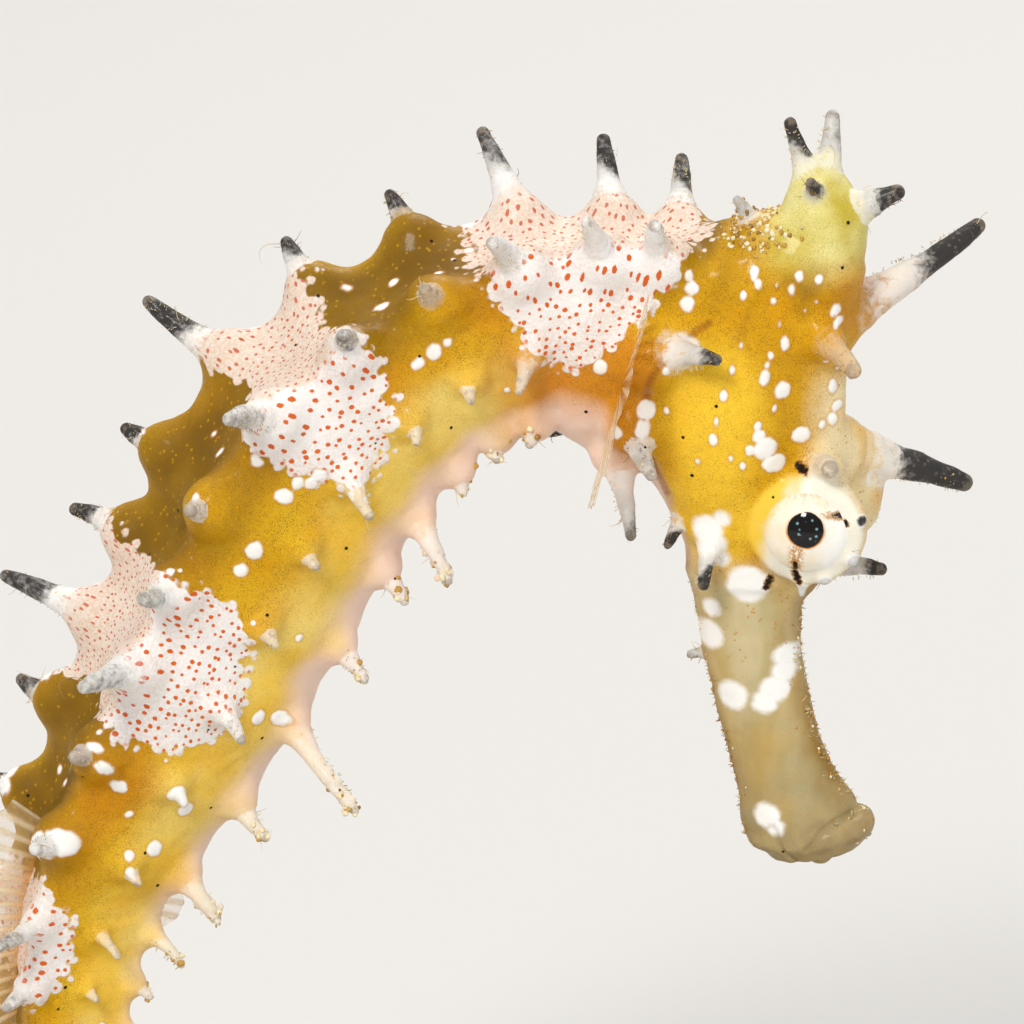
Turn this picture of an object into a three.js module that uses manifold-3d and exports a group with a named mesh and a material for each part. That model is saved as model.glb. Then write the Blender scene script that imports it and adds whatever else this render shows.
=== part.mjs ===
// A spiny seahorse, life size, as a still display model on a plain stand.
// Millimetres. +X is the way the head faces, +Z is up, and the animal's right side looks along -Y.
// The origin is under the middle of the stand's base, on the surface that it stands on.
import * as THREE from 'three';
import Module from 'manifold-3d';

const wasm = await Module();
wasm.setup();

// ---- Driving dimensions ------------------------------------------------------------------------
const clearance = 0.3; // between solids that meet
const standHeight = 6; // thickness of the base
const baseLength = 74;
const baseWidth = 46;
const baseCorner = 9;
const rodRadius = 0.9;
const rodLength = 9.5; // from the top of the base to the underside of the tail
const footRadius = 3.4; // flange at the foot of the rod
const footHeight = 1.2;
const cupRadius = 1.1; // head of the rod, under the tail
const cupHeight = 1.6;
const rodGap = 0.45; // between the rod and the tail
const baseCentre = -3; // middle of the base along X, in the animal's own frame

const trunkRings = 11;
const tailRings = 35;
const neckPoint = { x: 11.2, z: 8.3 }; // front end of the body's midline, in the animal's own frame

// The midline heads tailwards. Each stretch turns evenly from one heading to the next, in degrees
// from +X towards +Z, and the curl at the end tightens as it goes.
const midlineStart = 158;
const midlineStretches = [
  { length: 8, heading: 174, tighten: 1 },
  { length: 9, heading: 212, tighten: 1 },
  { length: 12, heading: 243, tighten: 1 },
  { length: 19, heading: 241, tighten: 1 },
  { length: 11, heading: 264, tighten: 1 },
  { length: 13, heading: 290, tighten: 1 },
  { length: 46, heading: 290 + 500, tighten: 3.4 },
];
const trunkLength = 52;
const neckLead = 3.0; // midline before the first ring
const ringGrowth = 1.25; // above 1, the rings behind the neck are the shortest of the trunk

// The animal bends a little to its right, so the head is turned from the line of the trunk.
const trunkYaw = 10;
const headYaw = -12;
const yawLength = 20; // the stretch of midline that takes up the turn

// The trunk also rolls its back to the animal's right, between the neck and the lower tail.
const trunkRoll = { angle: 14, from: 4, length: 11, endFrom: 62, endLength: 20 };

// Half depth and half width of the body at a few places along the midline.
const bodySizes = [
  { at: 0, depth: 6.9, width: 3.7 },
  { at: 4, depth: 6.5, width: 4.1 },
  { at: 9, depth: 5.7, width: 4.3 },
  { at: 15, depth: 5.8, width: 4.6 },
  { at: 24, depth: 6.9, width: 5.1 },
  { at: 33, depth: 6.6, width: 5.0 },
  { at: 41, depth: 6.1, width: 4.6 },
  { at: 47, depth: 5.2, width: 4.0 },
  { at: 55, depth: 4.0, width: 3.4 },
  { at: 75, depth: 2.8, width: 2.55 },
  { at: 98, depth: 1.45, width: 1.35 },
  { at: 118, depth: 0.5, width: 0.5 },
];
const ringSink = 0.06; // how far the body draws in between two rings
const tailBlend = 9; // the stretch in which the trunk's section turns into the tail's
const tipDraw = 0.5; // the last section against its full size

// One half of the cross section, from the mid back to the keel, as parts of half width and depth.
const trunkSection = [
  [0, 0.86], [0.76, 0.92], [0.95, 0.52], [1.0, 0.08], [0.93, -0.4], [0.72, -0.81], [0.37, -1.02], [0, -1.1],
];
const tailSection = [
  [0, 0.8], [0.9, 0.9], [0.95, 0.45], [0.94, 0.0], [0.9, -0.45], [0.86, -0.86], [0.44, -0.84], [0, -0.82],
];
const ridgeCorners = { superior: 1, inferior: 5, lateral: 3 }; // places of the ridges in the lists

// Body spines stand on the ridges, one to a ring, and every third ring has long ones.
const spineSizes = {
  superior: { short: 3.7, long: 5.6, base: 1.5, tip: 0.45 },
  lateral: { short: 1.3, long: 1.9, base: 0.9, tip: 0.25 },
  inferior: { short: 1.6, long: 4.4, base: 1.05, tip: 0.25 },
};
const backSpineLengths = [3.9, 4.1, 5.5, 3.0, 3.0, 5.6, 2.8, 3.5, 5.6, 2.9, 2.8]; // ring by ring on the trunk
const spineTurns = { superior: 50, lateral: 6, inferior: -36 }; // lean from the side to the back, degrees
const spineSweep = 7; // lean tailwards, degrees
const spineSeat = 0.96; // spines start this share of the way out to the skin
const tailSpineScale = 0.78; // length of the first tail spines against the trunk's
const lastSpineScale = 0.2; // and of the last ones
const tailSpineBase = 0.75; // root radius of tail spines against the trunk's
const tailSpineEnd = { superior: 22, inferior: 8, lateral: 2 }; // last tail rings with spines
const plainRingsFrom = 18; // rings past this one are too small for the draw between them

// The head's own frame: origin at its middle, +X to the forehead, +Z to the crown.
const headPoint = { x: 13.9, z: 6.6 };
const headSections = [
  { z: 10.0, back: -1.8, front: 3.9, width: 1.8, wedge: 0.1 },
  { z: 8.9, back: -5.2, front: 4.5, width: 2.9, wedge: 0.1 },
  { z: 6.4, back: -6.0, front: 4.4, width: 3.4, wedge: 0.3 },
  { z: 3.2, back: -6.2, front: 4.3, width: 3.9, wedge: 0.45 },
  { z: 0.0, back: -6.4, front: 4.25, width: 4.2, wedge: 0.5 },
  { z: -3.2, back: -6.6, front: 4.25, width: 4.1, wedge: 0.42 },
  { z: -6.0, back: -5.6, front: 4.35, width: 3.7, wedge: 0.25 },
  { z: -8.4, back: -4.5, front: 3.9, width: 3.1, wedge: 0.1 },
  { z: -10.0, back: -4.1, front: 2.6, width: 2.75, wedge: 0 },
];
const crownDome = 0.3;
const snoutPath = { root: [-0.95, -10.0], bend: [-0.95, -18.0], mouth: [3.1, -26.5] };
const snoutSections = [
  { at: 0, depth: 3.25, width: 2.7 },
  { at: 0.14, depth: 2.9, width: 2.45 },
  { at: 0.5, depth: 2.6, width: 2.2 },
  { at: 0.74, depth: 2.75, width: 2.3 },
  { at: 0.88, depth: 3.3, width: 2.6 },
  { at: 0.96, depth: 3.3, width: 2.5 },
  { at: 1.0, depth: 2.5, width: 1.8 },
];
const mouthTilt = 14; // the mouth opens a little to the forehead side
const lipDome = 0.35;

const eye = { x: 2.75, z: -6.2, side: 2.75, radius: 2.65, bulge: 2.15 };

// Paired spines of the head, in its frame: where the left one starts, the run of each and its radii.
// The head is turned against the trunk, and its left spines are the longer ones.
const pairedHeadSpines = [
  // brow, crown, cheek and gill
  { from: [3.3, 1.7, -3.3], right: [0.9, -3.0, 1.1], left: [7.1, 4.6, -3.1], base: 2.1, tip: 0.5 },
  { from: [3.2, 1.7, 4.2], right: [2.4, -4.2, -0.5], left: [7.4, 5.0, 4.4], base: 1.9, tip: 0.45 },
  { from: [-2.5, 2.8, -6.8], right: [-0.1, -2.2, -2.7], left: [-0.1, 2.2, -2.7], base: 1.2, tip: 0.28 },
  { from: [-4.1, 2.3, -5.6], right: [-0.8, -1.4, -2.2], left: [-0.8, 1.4, -2.2], base: 0.7, tip: 0.22 },
];
const noseSpine = { from: [1.7, 0, -9.8], run: [5.0, 0, 0.4], base: 1.4, tip: 0.4 };
const chinSpine = { from: [-2.6, 0, -15.0], run: [-1.7, 0, -0.3], base: 0.55, tip: 0.2 };

const coronet = { x: 2.55, foot: 7.6, top: 11.6, dome: 0.4, footRadius: 2.9, topRadius: 1.75, flatness: 0.8 };
const coronetSpines = [
  { turn: 0, tilt: 66, length: 4.3 },
  { turn: 95, tilt: 28, length: 5.2 },
  { turn: 150, tilt: 24, length: 4.7 },
  { turn: -140, tilt: 58, length: 3.0 },
  { turn: -78, tilt: 60, length: 3.4 },
];
const coronetSpine = { base: 1.15, tip: 0.34, rootReach: 0.96, rootDrop: 0.9, rootRise: 0.7, sides: 5 };

// Spines of the first ring, round the root of the pectoral fin.
const shoulderSpines = [
  { at: 3.4, corner: 3, turn: 32, headwards: 52, length: 4.3, base: 1.35, tip: 0.3 },
  { at: 3.5, corner: 5, turn: -8, headwards: 46, length: 3.4, base: 1.1, tip: 0.3 },
  { at: 4.3, corner: 6, turn: -62, headwards: 18, length: 5.6, base: 1.15, tip: 0.3 },
];

const pectoralFin = {
  at: 5.9,
  height: -1.7,
  radius: 7.0,
  reach: 0.85, // how far it stands out, as a share of its radius
  rise: 0.88, // its half height, as a share of its radius
  root: 1.8, // half height of its root
  spread: 82, // degrees to either side of straight out
  sweep: -5, // degrees tailwards
  tilt: 12,
  thickness: 0.5,
};
const dorsalFin = { from: 49.6, to: 60.4, height: 4.4, thickness: 0.5 };
const analFin = { from: 52.2, to: 54.0, height: 2.0, thickness: 0.5 };

// Where the body is parted, counted in rings, and what each length is called.
const bodyParts = [
  { name: 'neck', from: 0, to: 2 },
  { name: 'trunk_front', from: 2, to: 5 },
  { name: 'trunk_middle', from: 5, to: 8 },
  { name: 'trunk_rear', from: 8, to: 11 },
  { name: 'tail_root', from: 11, to: 15 },
  { name: 'tail_upper', from: 15, to: 19 },
  { name: 'tail_bend', from: 19, to: 23 },
  { name: 'tail_lower', from: 23, to: 27 },
  { name: 'tail_curl', from: 27, to: 32 },
  { name: 'tail_inner_curl', from: 32, to: 37 },
  { name: 'tail_tip', from: 37, to: 46 },
];

// ---- Small helpers -----------------------------------------------------------------------------
const radians = THREE.MathUtils.degToRad;

function blend(a, b, t) {
  return a + (b - a) * t;
}

function easeIn(t) {
  return THREE.MathUtils.smoothstep(t, 0, 1);
}

// The body's half depth or half width at any place along the midline.
function sizeAt(key, along) {
  const next = Math.max(1, bodySizes.findIndex((row) => row.at >= along));
  const before = bodySizes[next - 1];
  const after = bodySizes[next];
  return blend(before[key], after[key], (along - before.at) / (after.at - before.at));
}

// A closed skin over a row of rings that have the same number of points, with a point at each end.
function loft(rings, startPoint, endPoint) {
  const count = rings[0].length;
  const positions = [];
  const index = [];
  rings.flat().forEach((p) => positions.push(p.x, p.y, p.z));
  const startIndex = rings.length * count;
  positions.push(startPoint.x, startPoint.y, startPoint.z, endPoint.x, endPoint.y, endPoint.z);
  for (let k = 0; k < count; k += 1) {
    const next = (k + 1) % count;
    index.push(startIndex, next, k);
    for (let r = 0; r + 1 < rings.length; r += 1) {
      const low = r * count;
      const high = low + count;
      index.push(low + k, low + next, high + next);
      index.push(low + k, high + next, high + k);
    }
    const lastRing = (rings.length - 1) * count;
    index.push(startIndex + 1, lastRing + k, lastRing + next);
  }
  const geometry = new THREE.BufferGeometry();
  geometry.setAttribute('position', new THREE.Float32BufferAttribute(positions, 3));
  geometry.setIndex(index);
  return geometry;
}

function signedVolume(vertices, triangles) {
  const a = new THREE.Vector3();
  const b = new THREE.Vector3();
  const c = new THREE.Vector3();
  let total = 0;
  for (let i = 0; i < triangles.length; i += 3) {
    a.fromArray(vertices, 3 * triangles[i]);
    b.fromArray(vertices, 3 * triangles[i + 1]);
    c.fromArray(vertices, 3 * triangles[i + 2]);
    total += a.dot(b.cross(c)) / 6;
  }
  return total;
}

function solid(geometry) {
  const vertProperties = Float32Array.from(geometry.attributes.position.array);
  const triVerts = Uint32Array.from(geometry.index.array);
  if (signedVolume(vertProperties, triVerts) < 0) triVerts.reverse();
  return new wasm.Manifold(new wasm.Mesh({ numProp: 3, vertProperties, triVerts }));
}

function geometryOf(manifold) {
  const mesh = manifold.getMesh();
  const geometry = new THREE.BufferGeometry();
  geometry.setAttribute('position', new THREE.BufferAttribute(mesh.vertProperties, 3));
  geometry.setIndex(new THREE.BufferAttribute(mesh.triVerts, 1));
  geometry.computeVertexNormals();
  return geometry;
}

// Where a spine's sections lie, as shares of its length, and how wide they are, as shares of its base.
const spineForm = { sink: 0.5, root: 1.15, shaftAt: 0.28, shaft: 0.55, tipAt: 0.95 };

// A spine along a run from one point: a wide root, an even shaft and a blunt tip.
// A plain one tapers straight to its tip.
function spineSolid(from, run, baseRadius, tipRadius, sides, plain = false) {
  const length = run.length();
  const axis = run.clone().normalize();
  const across = new THREE.Vector3(0, 0, 1).cross(axis);
  if (across.length() < 0.1) across.set(1, 0, 0).cross(axis); // for a spine that stands upright
  across.normalize();
  const other = axis.clone().cross(across);
  const sink = baseRadius * spineForm.sink;
  const shaft = plain ? [] : [[length * spineForm.shaftAt, baseRadius * spineForm.shaft]];
  const profile = [[-sink, baseRadius * spineForm.root], ...shaft, [length * spineForm.tipAt, tipRadius]];
  const rings = profile.map(([along, radius]) => {
    const ring = [];
    for (let k = 0; k < sides; k += 1) {
      const angle = (2 * Math.PI * k) / sides;
      const point = from.clone().addScaledVector(axis, along);
      point.addScaledVector(across, radius * Math.cos(angle));
      point.addScaledVector(other, radius * Math.sin(angle));
      ring.push(point);
    }
    return ring;
  });
  const start = from.clone().addScaledVector(axis, -sink);
  return solid(loft(rings, start, from.clone().addScaledVector(axis, length)));
}

// ---- The body's midline ------------------------------------------------------------------------
const midlineStep = 0.25;
const upright = new THREE.Vector3(0, 0, 1);

function traceMidline() {
  const points = [];
  const place = new THREE.Vector3(neckPoint.x, 0, neckPoint.z);
  let heading = midlineStart;
  let along = 0;
  const record = () => {
    const yaw = radians(blend(headYaw, trunkYaw, easeIn(along / yawLength)));
    const pitch = radians(heading);
    const forward = new THREE.Vector3(Math.cos(yaw), Math.sin(yaw), 0);
    const tangent = forward.clone().multiplyScalar(Math.cos(pitch)).addScaledVector(upright, Math.sin(pitch));
    const rise = forward.clone().multiplyScalar(Math.sin(pitch)).addScaledVector(upright, -Math.cos(pitch));
    const side = new THREE.Vector3(-Math.sin(yaw), Math.cos(yaw), 0);
    const rollIn = easeIn((along - trunkRoll.from) / trunkRoll.length);
    const rollOut = easeIn((along - trunkRoll.endFrom) / trunkRoll.endLength);
    const roll = radians(trunkRoll.angle) * (rollIn - rollOut);
    const back = rise.clone().multiplyScalar(Math.cos(roll)).addScaledVector(side, -Math.sin(roll));
    const left = side.clone().multiplyScalar(Math.cos(roll)).addScaledVector(rise, Math.sin(roll));
    points.push({ along, place: place.clone(), tangent, back, left });
    return tangent;
  };
  for (const stretch of midlineStretches) {
    const steps = Math.round(stretch.length / midlineStep);
    const startHeading = heading;
    for (let i = 0; i < steps; i += 1) {
      const tangent = record();
      place.addScaledVector(tangent, midlineStep);
      along += midlineStep;
      const t = (i + 1) / steps;
      // A bend with tighten above 1 is a curl that closes towards its end.
      const grown = (t + ((stretch.tighten - 1) / 2) * t * t) / (1 + (stretch.tighten - 1) / 2);
      heading = blend(startHeading, stretch.heading, grown);
    }
  }
  record();
  return points;
}

const midline = traceMidline();
const bodyLength = midline[midline.length - 1].along;

function frameAt(along) {
  const index = THREE.MathUtils.clamp(along / midlineStep, 0, midline.length - 1);
  const low = Math.min(Math.floor(index), midline.length - 2);
  const t = index - low;
  const a = midline[low];
  const b = midline[low + 1];
  return {
    place: a.place.clone().lerp(b.place, t),
    tangent: a.tangent.clone().lerp(b.tangent, t).normalize(),
    back: a.back.clone().lerp(b.back, t).normalize(),
    left: a.left.clone().lerp(b.left, t).normalize(),
  };
}

// Rings get longer along the trunk and shorter down the tail.
const tailShrink = 0.955;
const firstTailRing = ((bodyLength - trunkLength) * (1 - tailShrink)) / (1 - tailShrink ** tailRings);

function ringPlace(ring) {
  if (ring <= trunkRings) return blend(neckLead, trunkLength, (ring / trunkRings) ** ringGrowth);
  const beyond = ring - trunkRings;
  return trunkLength + (firstTailRing * (1 - tailShrink ** beyond)) / (1 - tailShrink);
}

// Point of the body's surface: a place in the section list, the side, and the midline place.
function sectionPoint(frame, along, corner, side, draw) {
  const depth = sizeAt('depth', along) * draw;
  const width = sizeAt('width', along) * draw;
  const toTail = easeIn((along - trunkLength) / tailBlend + 1 / 3);
  const across = blend(trunkSection[corner][0], tailSection[corner][0], toTail);
  const up = blend(trunkSection[corner][1], tailSection[corner][1], toTail);
  return frame.place.clone()
    .addScaledVector(frame.left, side * across * width)
    .addScaledVector(frame.back, up * depth);
}

// The trunk's sections use every corner of the list, and the tail's only the ones it needs.
const trunkCorners = [0, 1, 2, 3, 4, 5, 6, 7];
const tailCorners = [0, 1, 3, 5, 7];

function bodyRing(along, draw, corners) {
  const frame = frameAt(along);
  const rightSide = corners.slice(1, -1).reverse();
  return [
    ...corners.map((corner) => sectionPoint(frame, along, corner, 1, draw)),
    ...rightSide.map((corner) => sectionPoint(frame, along, corner, -1, draw)),
  ];
}

function bodyPiece(part) {
  const lastRing = trunkRings + tailRings;
  const corners = part.from < trunkRings ? trunkCorners : tailCorners;
  const start = part.from === 0 ? 0 : ringPlace(part.from) + clearance / 2;
  const end = part.to === lastRing ? bodyLength : ringPlace(part.to) - clearance / 2;
  const rings = [bodyRing(start, 1 - ringSink, corners)];
  for (let ring = part.from; ring < part.to; ring += 1) {
    const middle = (ringPlace(ring) + ringPlace(ring + 1)) / 2;
    rings.push(bodyRing(middle, 1, corners));
    const sinksAfter = ring + 1 < part.to && ring < plainRingsFrom;
    if (sinksAfter) rings.push(bodyRing(ringPlace(ring + 1), 1 - ringSink, corners));
  }
  rings.push(bodyRing(end, part.to === lastRing ? tipDraw : 1 - ringSink, corners));
  return solid(loft(rings, frameAt(start).place, frameAt(end).place));
}

function ridgeSpine(along, corner, side, size, aim, shape) {
  const frame = frameAt(along);
  const from = sectionPoint(frame, along, corner, side, spineSeat);
  const turn = radians(aim.turn);
  const headwards = radians(aim.headwards);
  const run = frame.left.clone().multiplyScalar(side * Math.cos(turn))
    .addScaledVector(frame.back, Math.sin(turn))
    .multiplyScalar(Math.cos(headwards))
    .addScaledVector(frame.tangent, -Math.sin(headwards))
    .multiplyScalar(size.length);
  return spineSolid(from, run, size.base, size.tip, shape.sides, shape.plain);
}

// All ridge spines of one ring. Rings count from the head, and the tail's follow the trunk's.
function ringSpines(ring) {
  const along = (ringPlace(ring - 1) + ringPlace(ring)) / 2;
  const onTail = ring > trunkRings;
  const share = (ring - trunkRings) / tailSpineEnd.superior;
  const fade = onTail ? blend(tailSpineScale, lastSpineScale, share) : 1;
  const spines = [];
  for (const [kind, corner] of Object.entries(ridgeCorners)) {
    if (ring > trunkRings + tailSpineEnd[kind] || (kind !== 'superior' && ring < 3)) continue;
    const sizes = spineSizes[kind];
    const isLong = ring % 3 === 0 && !(kind === 'inferior' && ring < 6);
    const plain = onTail || kind === 'lateral' || (kind === 'inferior' && !isLong);
    const shape = { sides: plain ? 4 : 5, plain };
    const fullLength = isLong ? sizes.long : sizes.short;
    const size = {
      length: kind === 'superior' && !onTail ? backSpineLengths[ring - 1] : fullLength * fade,
      base: sizes.base * (onTail ? tailSpineBase * blend(1, fade, 0.6) : 1),
      tip: sizes.tip * blend(1, fade, 0.5),
    };
    const aim = { turn: spineTurns[kind], headwards: -spineSweep };
    for (const side of [1, -1]) spines.push(ridgeSpine(along, corner, side, size, aim, shape));
  }
  return spines;
}

// ---- The head ----------------------------------------------------------------------------------
const headFrame = new THREE.Matrix4()
  .makeRotationZ(radians(headYaw))
  .setPosition(headPoint.x, 0, headPoint.z);

function inHead(x, y, z) {
  return new THREE.Vector3(x, y, z).applyMatrix4(headFrame);
}

function headDirection(x, y, z) {
  return new THREE.Vector3(x, y, z).transformDirection(headFrame);
}

const headSides = 16;

function headRing(section, grow) {
  const middle = (section.front + section.back) / 2;
  const half = (section.front - section.back) / 2 + grow;
  const width = section.width + grow;
  const ring = [];
  for (let k = 0; k < headSides; k += 1) {
    const angle = (2 * Math.PI * k) / headSides;
    // The wedge narrows the forehead side and widens the gill side.
    const widen = 1 - section.wedge * Math.cos(angle);
    ring.push(inHead(middle + half * Math.cos(angle), width * Math.sin(angle) * widen, section.z));
  }
  return ring;
}

function headCore(grow = 0) {
  const rings = headSections.map((section) => headRing(section, grow));
  const top = headSections[0];
  const bottom = headSections[headSections.length - 1];
  const start = inHead((top.front + top.back) / 2, 0, top.z + crownDome);
  return solid(loft(rings, start, inHead((bottom.front + bottom.back) / 2, 0, bottom.z)));
}

function runFromTable(run) {
  return headDirection(...run).multiplyScalar(Math.hypot(...run));
}

function pairedSpine(spine, sideName) {
  const side = sideName === 'left' ? 1 : -1;
  const from = inHead(spine.from[0], side * spine.from[1], spine.from[2]);
  return spineSolid(from, runFromTable(spine[sideName]), spine.base, spine.tip, 6);
}

// A flattened ball, round from the side.
function eyeSolid(side, grow) {
  const rows = 6;
  const sides = 12;
  const outAt = (tilt) => side * (eye.side + (eye.bulge + grow) * Math.cos(tilt));
  const rings = [];
  for (let row = 1; row < rows; row += 1) {
    const tilt = (Math.PI * row) / rows;
    const flat = (eye.radius + grow) * Math.sin(tilt);
    const ring = [];
    for (let k = 0; k < sides; k += 1) {
      const turn = (2 * Math.PI * k) / sides;
      ring.push(inHead(eye.x + flat * Math.cos(turn), outAt(tilt), eye.z + flat * Math.sin(turn)));
    }
    rings.push(ring);
  }
  return solid(loft(rings, inHead(eye.x, outAt(0), eye.z), inHead(eye.x, outAt(Math.PI), eye.z)));
}

// ---- The snout ---------------------------------------------------------------------------------
const snoutCurve = new THREE.QuadraticBezierCurve(
  new THREE.Vector2(...snoutPath.root),
  new THREE.Vector2(...snoutPath.bend),
  new THREE.Vector2(...snoutPath.mouth),
);

function snoutRing(section, grow) {
  const gap = section.at === 0 ? clearance - grow : 0;
  const middle = snoutCurve.getPointAt(section.at);
  const ahead = snoutCurve.getTangentAt(section.at);
  const tilt = radians(mouthTilt) * easeIn((section.at - 0.5) / 0.5);
  const across = new THREE.Vector2(-ahead.y, ahead.x).rotateAround(new THREE.Vector2(), -tilt);
  const ring = [];
  for (let k = 0; k < headSides; k += 1) {
    const angle = (2 * Math.PI * k) / headSides;
    const depth = (section.depth + grow) * Math.cos(angle);
    const width = (section.width + grow) * Math.sin(angle);
    ring.push(inHead(middle.x + across.x * depth, width, middle.y + across.y * depth - gap));
  }
  return ring;
}

function snoutCore(grow = 0) {
  const rings = snoutSections.map((section) => snoutRing(section, grow));
  const root = inHead(snoutPath.root[0], 0, snoutPath.root[1] - clearance + grow);
  const ahead = snoutCurve.getTangentAt(1);
  const tip = inHead(snoutPath.mouth[0] + ahead.x * lipDome, 0, snoutPath.mouth[1] + ahead.y * lipDome);
  return solid(loft(rings, root, tip));
}

// ---- The coronet -------------------------------------------------------------------------------
function coronetSolid() {
  const sides = 8;
  const rings = [0, 0.45, 1].map((t) => {
    const radius = blend(coronet.footRadius, coronet.topRadius, Math.sqrt(t));
    const ring = [];
    for (let k = 0; k < sides; k += 1) {
      const angle = (2 * Math.PI * k) / sides;
      ring.push(inHead(
        coronet.x + radius * Math.cos(angle),
        radius * coronet.flatness * Math.sin(angle),
        blend(coronet.foot, coronet.top, t),
      ));
    }
    return ring;
  });
  const foot = inHead(coronet.x, 0, coronet.foot);
  let crown = solid(loft(rings, foot, inHead(coronet.x, 0, coronet.top + coronet.dome)));
  const { base, tip, rootReach, rootDrop, rootRise } = coronetSpine;
  for (const { turn, tilt, length } of coronetSpines) {
    const reach = Math.sin(radians(tilt));
    const way = [Math.cos(radians(turn)) * reach, Math.sin(radians(turn)) * reach, Math.cos(radians(tilt))];
    const height = coronet.top - rootDrop + way[2] * rootRise;
    const from = inHead(coronet.x + way[0] * rootReach, way[1] * rootReach, height);
    const run = headDirection(...way).multiplyScalar(length);
    crown = crown.add(spineSolid(from, run, base, tip, coronetSpine.sides));
  }
  return crown;
}

// ---- Fins --------------------------------------------------------------------------------------
const finGap = 0.45; // between the body's side and the root of a pectoral fin

// A thin plate with a closed outline. Each point has its own direction across the plate.
function plateSolid(outline, normals, thickness) {
  const half = thickness / 2;
  const face = (shift) => outline.map((p, i) => p.clone().addScaledVector(normals[i], shift));
  const rings = [face(-half), face(half)];
  const middle = (ring) => ring.reduce((sum, p) => sum.add(p), new THREE.Vector3()).divideScalar(ring.length);
  return solid(loft(rings, middle(rings[0]), middle(rings[1])));
}

function pectoralFinSolid(side) {
  const frame = frameAt(pectoralFin.at);
  const width = sizeAt('width', pectoralFin.at);
  const sweep = radians(pectoralFin.sweep);
  const outward = frame.left.clone().multiplyScalar(side * Math.cos(sweep))
    .addScaledVector(frame.tangent, Math.sin(sweep));
  const tilt = radians(pectoralFin.tilt);
  const upward = frame.back.clone().multiplyScalar(Math.cos(tilt))
    .addScaledVector(frame.tangent, -Math.sin(tilt));
  const normal = outward.clone().cross(upward).normalize();
  const root = frame.place.clone()
    .addScaledVector(frame.left, side * width * spineSeat)
    .addScaledVector(frame.back, pectoralFin.height);
  const outline = [];
  const steps = 12;
  for (let i = 0; i <= steps; i += 1) {
    const t = i / steps;
    const angle = radians(blend(-pectoralFin.spread, pectoralFin.spread, t));
    const radius = pectoralFin.radius * (0.93 + 0.07 * Math.cos(angle * 2)); // a little flatter at its corners
    const height = blend(-0.5, 0.5, t) * pectoralFin.root + radius * Math.sin(angle) * pectoralFin.rise;
    outline.push(root.clone()
      .addScaledVector(outward, finGap + pectoralFin.reach * radius * Math.cos(angle))
      .addScaledVector(upward, height));
  }
  for (const end of [1, -1]) {
    const corner = root.clone().addScaledVector(outward, finGap);
    outline.push(corner.addScaledVector(upward, end * pectoralFin.root));
  }
  return plateSolid(outline, outline.map(() => normal), pectoralFin.thickness);
}

// A fin in the animal's mid plane, on the back (1) or under the belly (-1).
function medianFinSolid(fin, side) {
  const steps = 8;
  const foot = [];
  const edge = [];
  for (let i = 0; i <= steps; i += 1) {
    const t = i / steps;
    const along = blend(fin.from, fin.to, t);
    const frame = frameAt(along);
    const corner = side > 0 ? 0 : trunkSection.length - 1;
    const surface = sectionPoint(frame, along, corner, 1, 1);
    const lean = (t - 0.35) * fin.height * 0.6; // the rays fan out from the front third of the fin
    const rise = fin.height * Math.sqrt(Math.sin(Math.PI * (0.1 + 0.8 * t)));
    foot.push({ point: surface.clone().addScaledVector(frame.back, side * clearance), left: frame.left });
    edge.push({
      point: surface.clone().addScaledVector(frame.back, side * rise).addScaledVector(frame.tangent, lean),
      left: frame.left,
    });
  }
  const outline = [...foot, ...edge.reverse()];
  return plateSolid(outline.map((p) => p.point), outline.map((p) => p.left), fin.thickness);
}

// ---- Putting the animal together ---------------------------------------------------------------
const flesh = { color: 0xd9a23a, roughness: 0.55, metalness: 0 };
const paleFlesh = { color: 0xd8c59a, roughness: 0.5, metalness: 0 };
const finFlesh = { color: 0xe6d8b4, roughness: 0.45, metalness: 0 };
const eyeGlass = { color: 0xf1e6cf, roughness: 0.12, metalness: 0 };
const darkWood = { color: 0x3a2a20, roughness: 0.5, metalness: 0 };
const brass = { color: 0xb8954a, roughness: 0.3, metalness: 1 };

const pieces = [];

function keep(name, manifold, look) {
  pieces.push({ name, manifold, look });
}

let head = headCore();
for (const spine of pairedHeadSpines) {
  head = head.add(pairedSpine(spine, 'right')).add(pairedSpine(spine, 'left'));
}
head = head.subtract(eyeSolid(1, clearance)).subtract(eyeSolid(-1, clearance));

const crown = coronetSolid();
keep('coronet', crown.subtract(head), paleFlesh);

let snout = snoutCore();
const chinFrom = inHead(...chinSpine.from);
snout = snout.add(spineSolid(chinFrom, runFromTable(chinSpine.run), chinSpine.base, chinSpine.tip, 5));
const noseFrom = inHead(...noseSpine.from);
head = head.add(spineSolid(noseFrom, runFromTable(noseSpine.run), noseSpine.base, noseSpine.tip, 5));
head = head.subtract(snoutCore(clearance));
keep('head', head, flesh);
keep('snout', snout, paleFlesh);
keep('eye_right', eyeSolid(-1, 0), eyeGlass);
keep('eye_left', eyeSolid(1, 0), eyeGlass);

const headGuard = headCore(clearance);
const shoulders = shoulderSpines.flatMap((spine) => (
  [1, -1].map((side) => ridgeSpine(spine.at, spine.corner, side, spine, spine, { sides: 5, plain: false }))
));

for (const part of bodyParts) {
  let length = bodyPiece(part);
  for (let ring = part.from + 1; ring <= part.to; ring += 1) {
    ringSpines(ring).forEach((spine) => { length = length.add(spine); });
  }
  if (part.name === 'neck') {
    shoulders.forEach((spine) => { length = length.add(spine); });
    length = length.subtract(headGuard);
  }
  keep(part.name, length, flesh);
}

keep('pectoral_fin_right', pectoralFinSolid(-1), finFlesh);
keep('pectoral_fin_left', pectoralFinSolid(1), finFlesh);
keep('dorsal_fin', medianFinSolid(dorsalFin, 1), finFlesh);
keep('anal_fin', medianFinSolid(analFin, -1), finFlesh);

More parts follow.
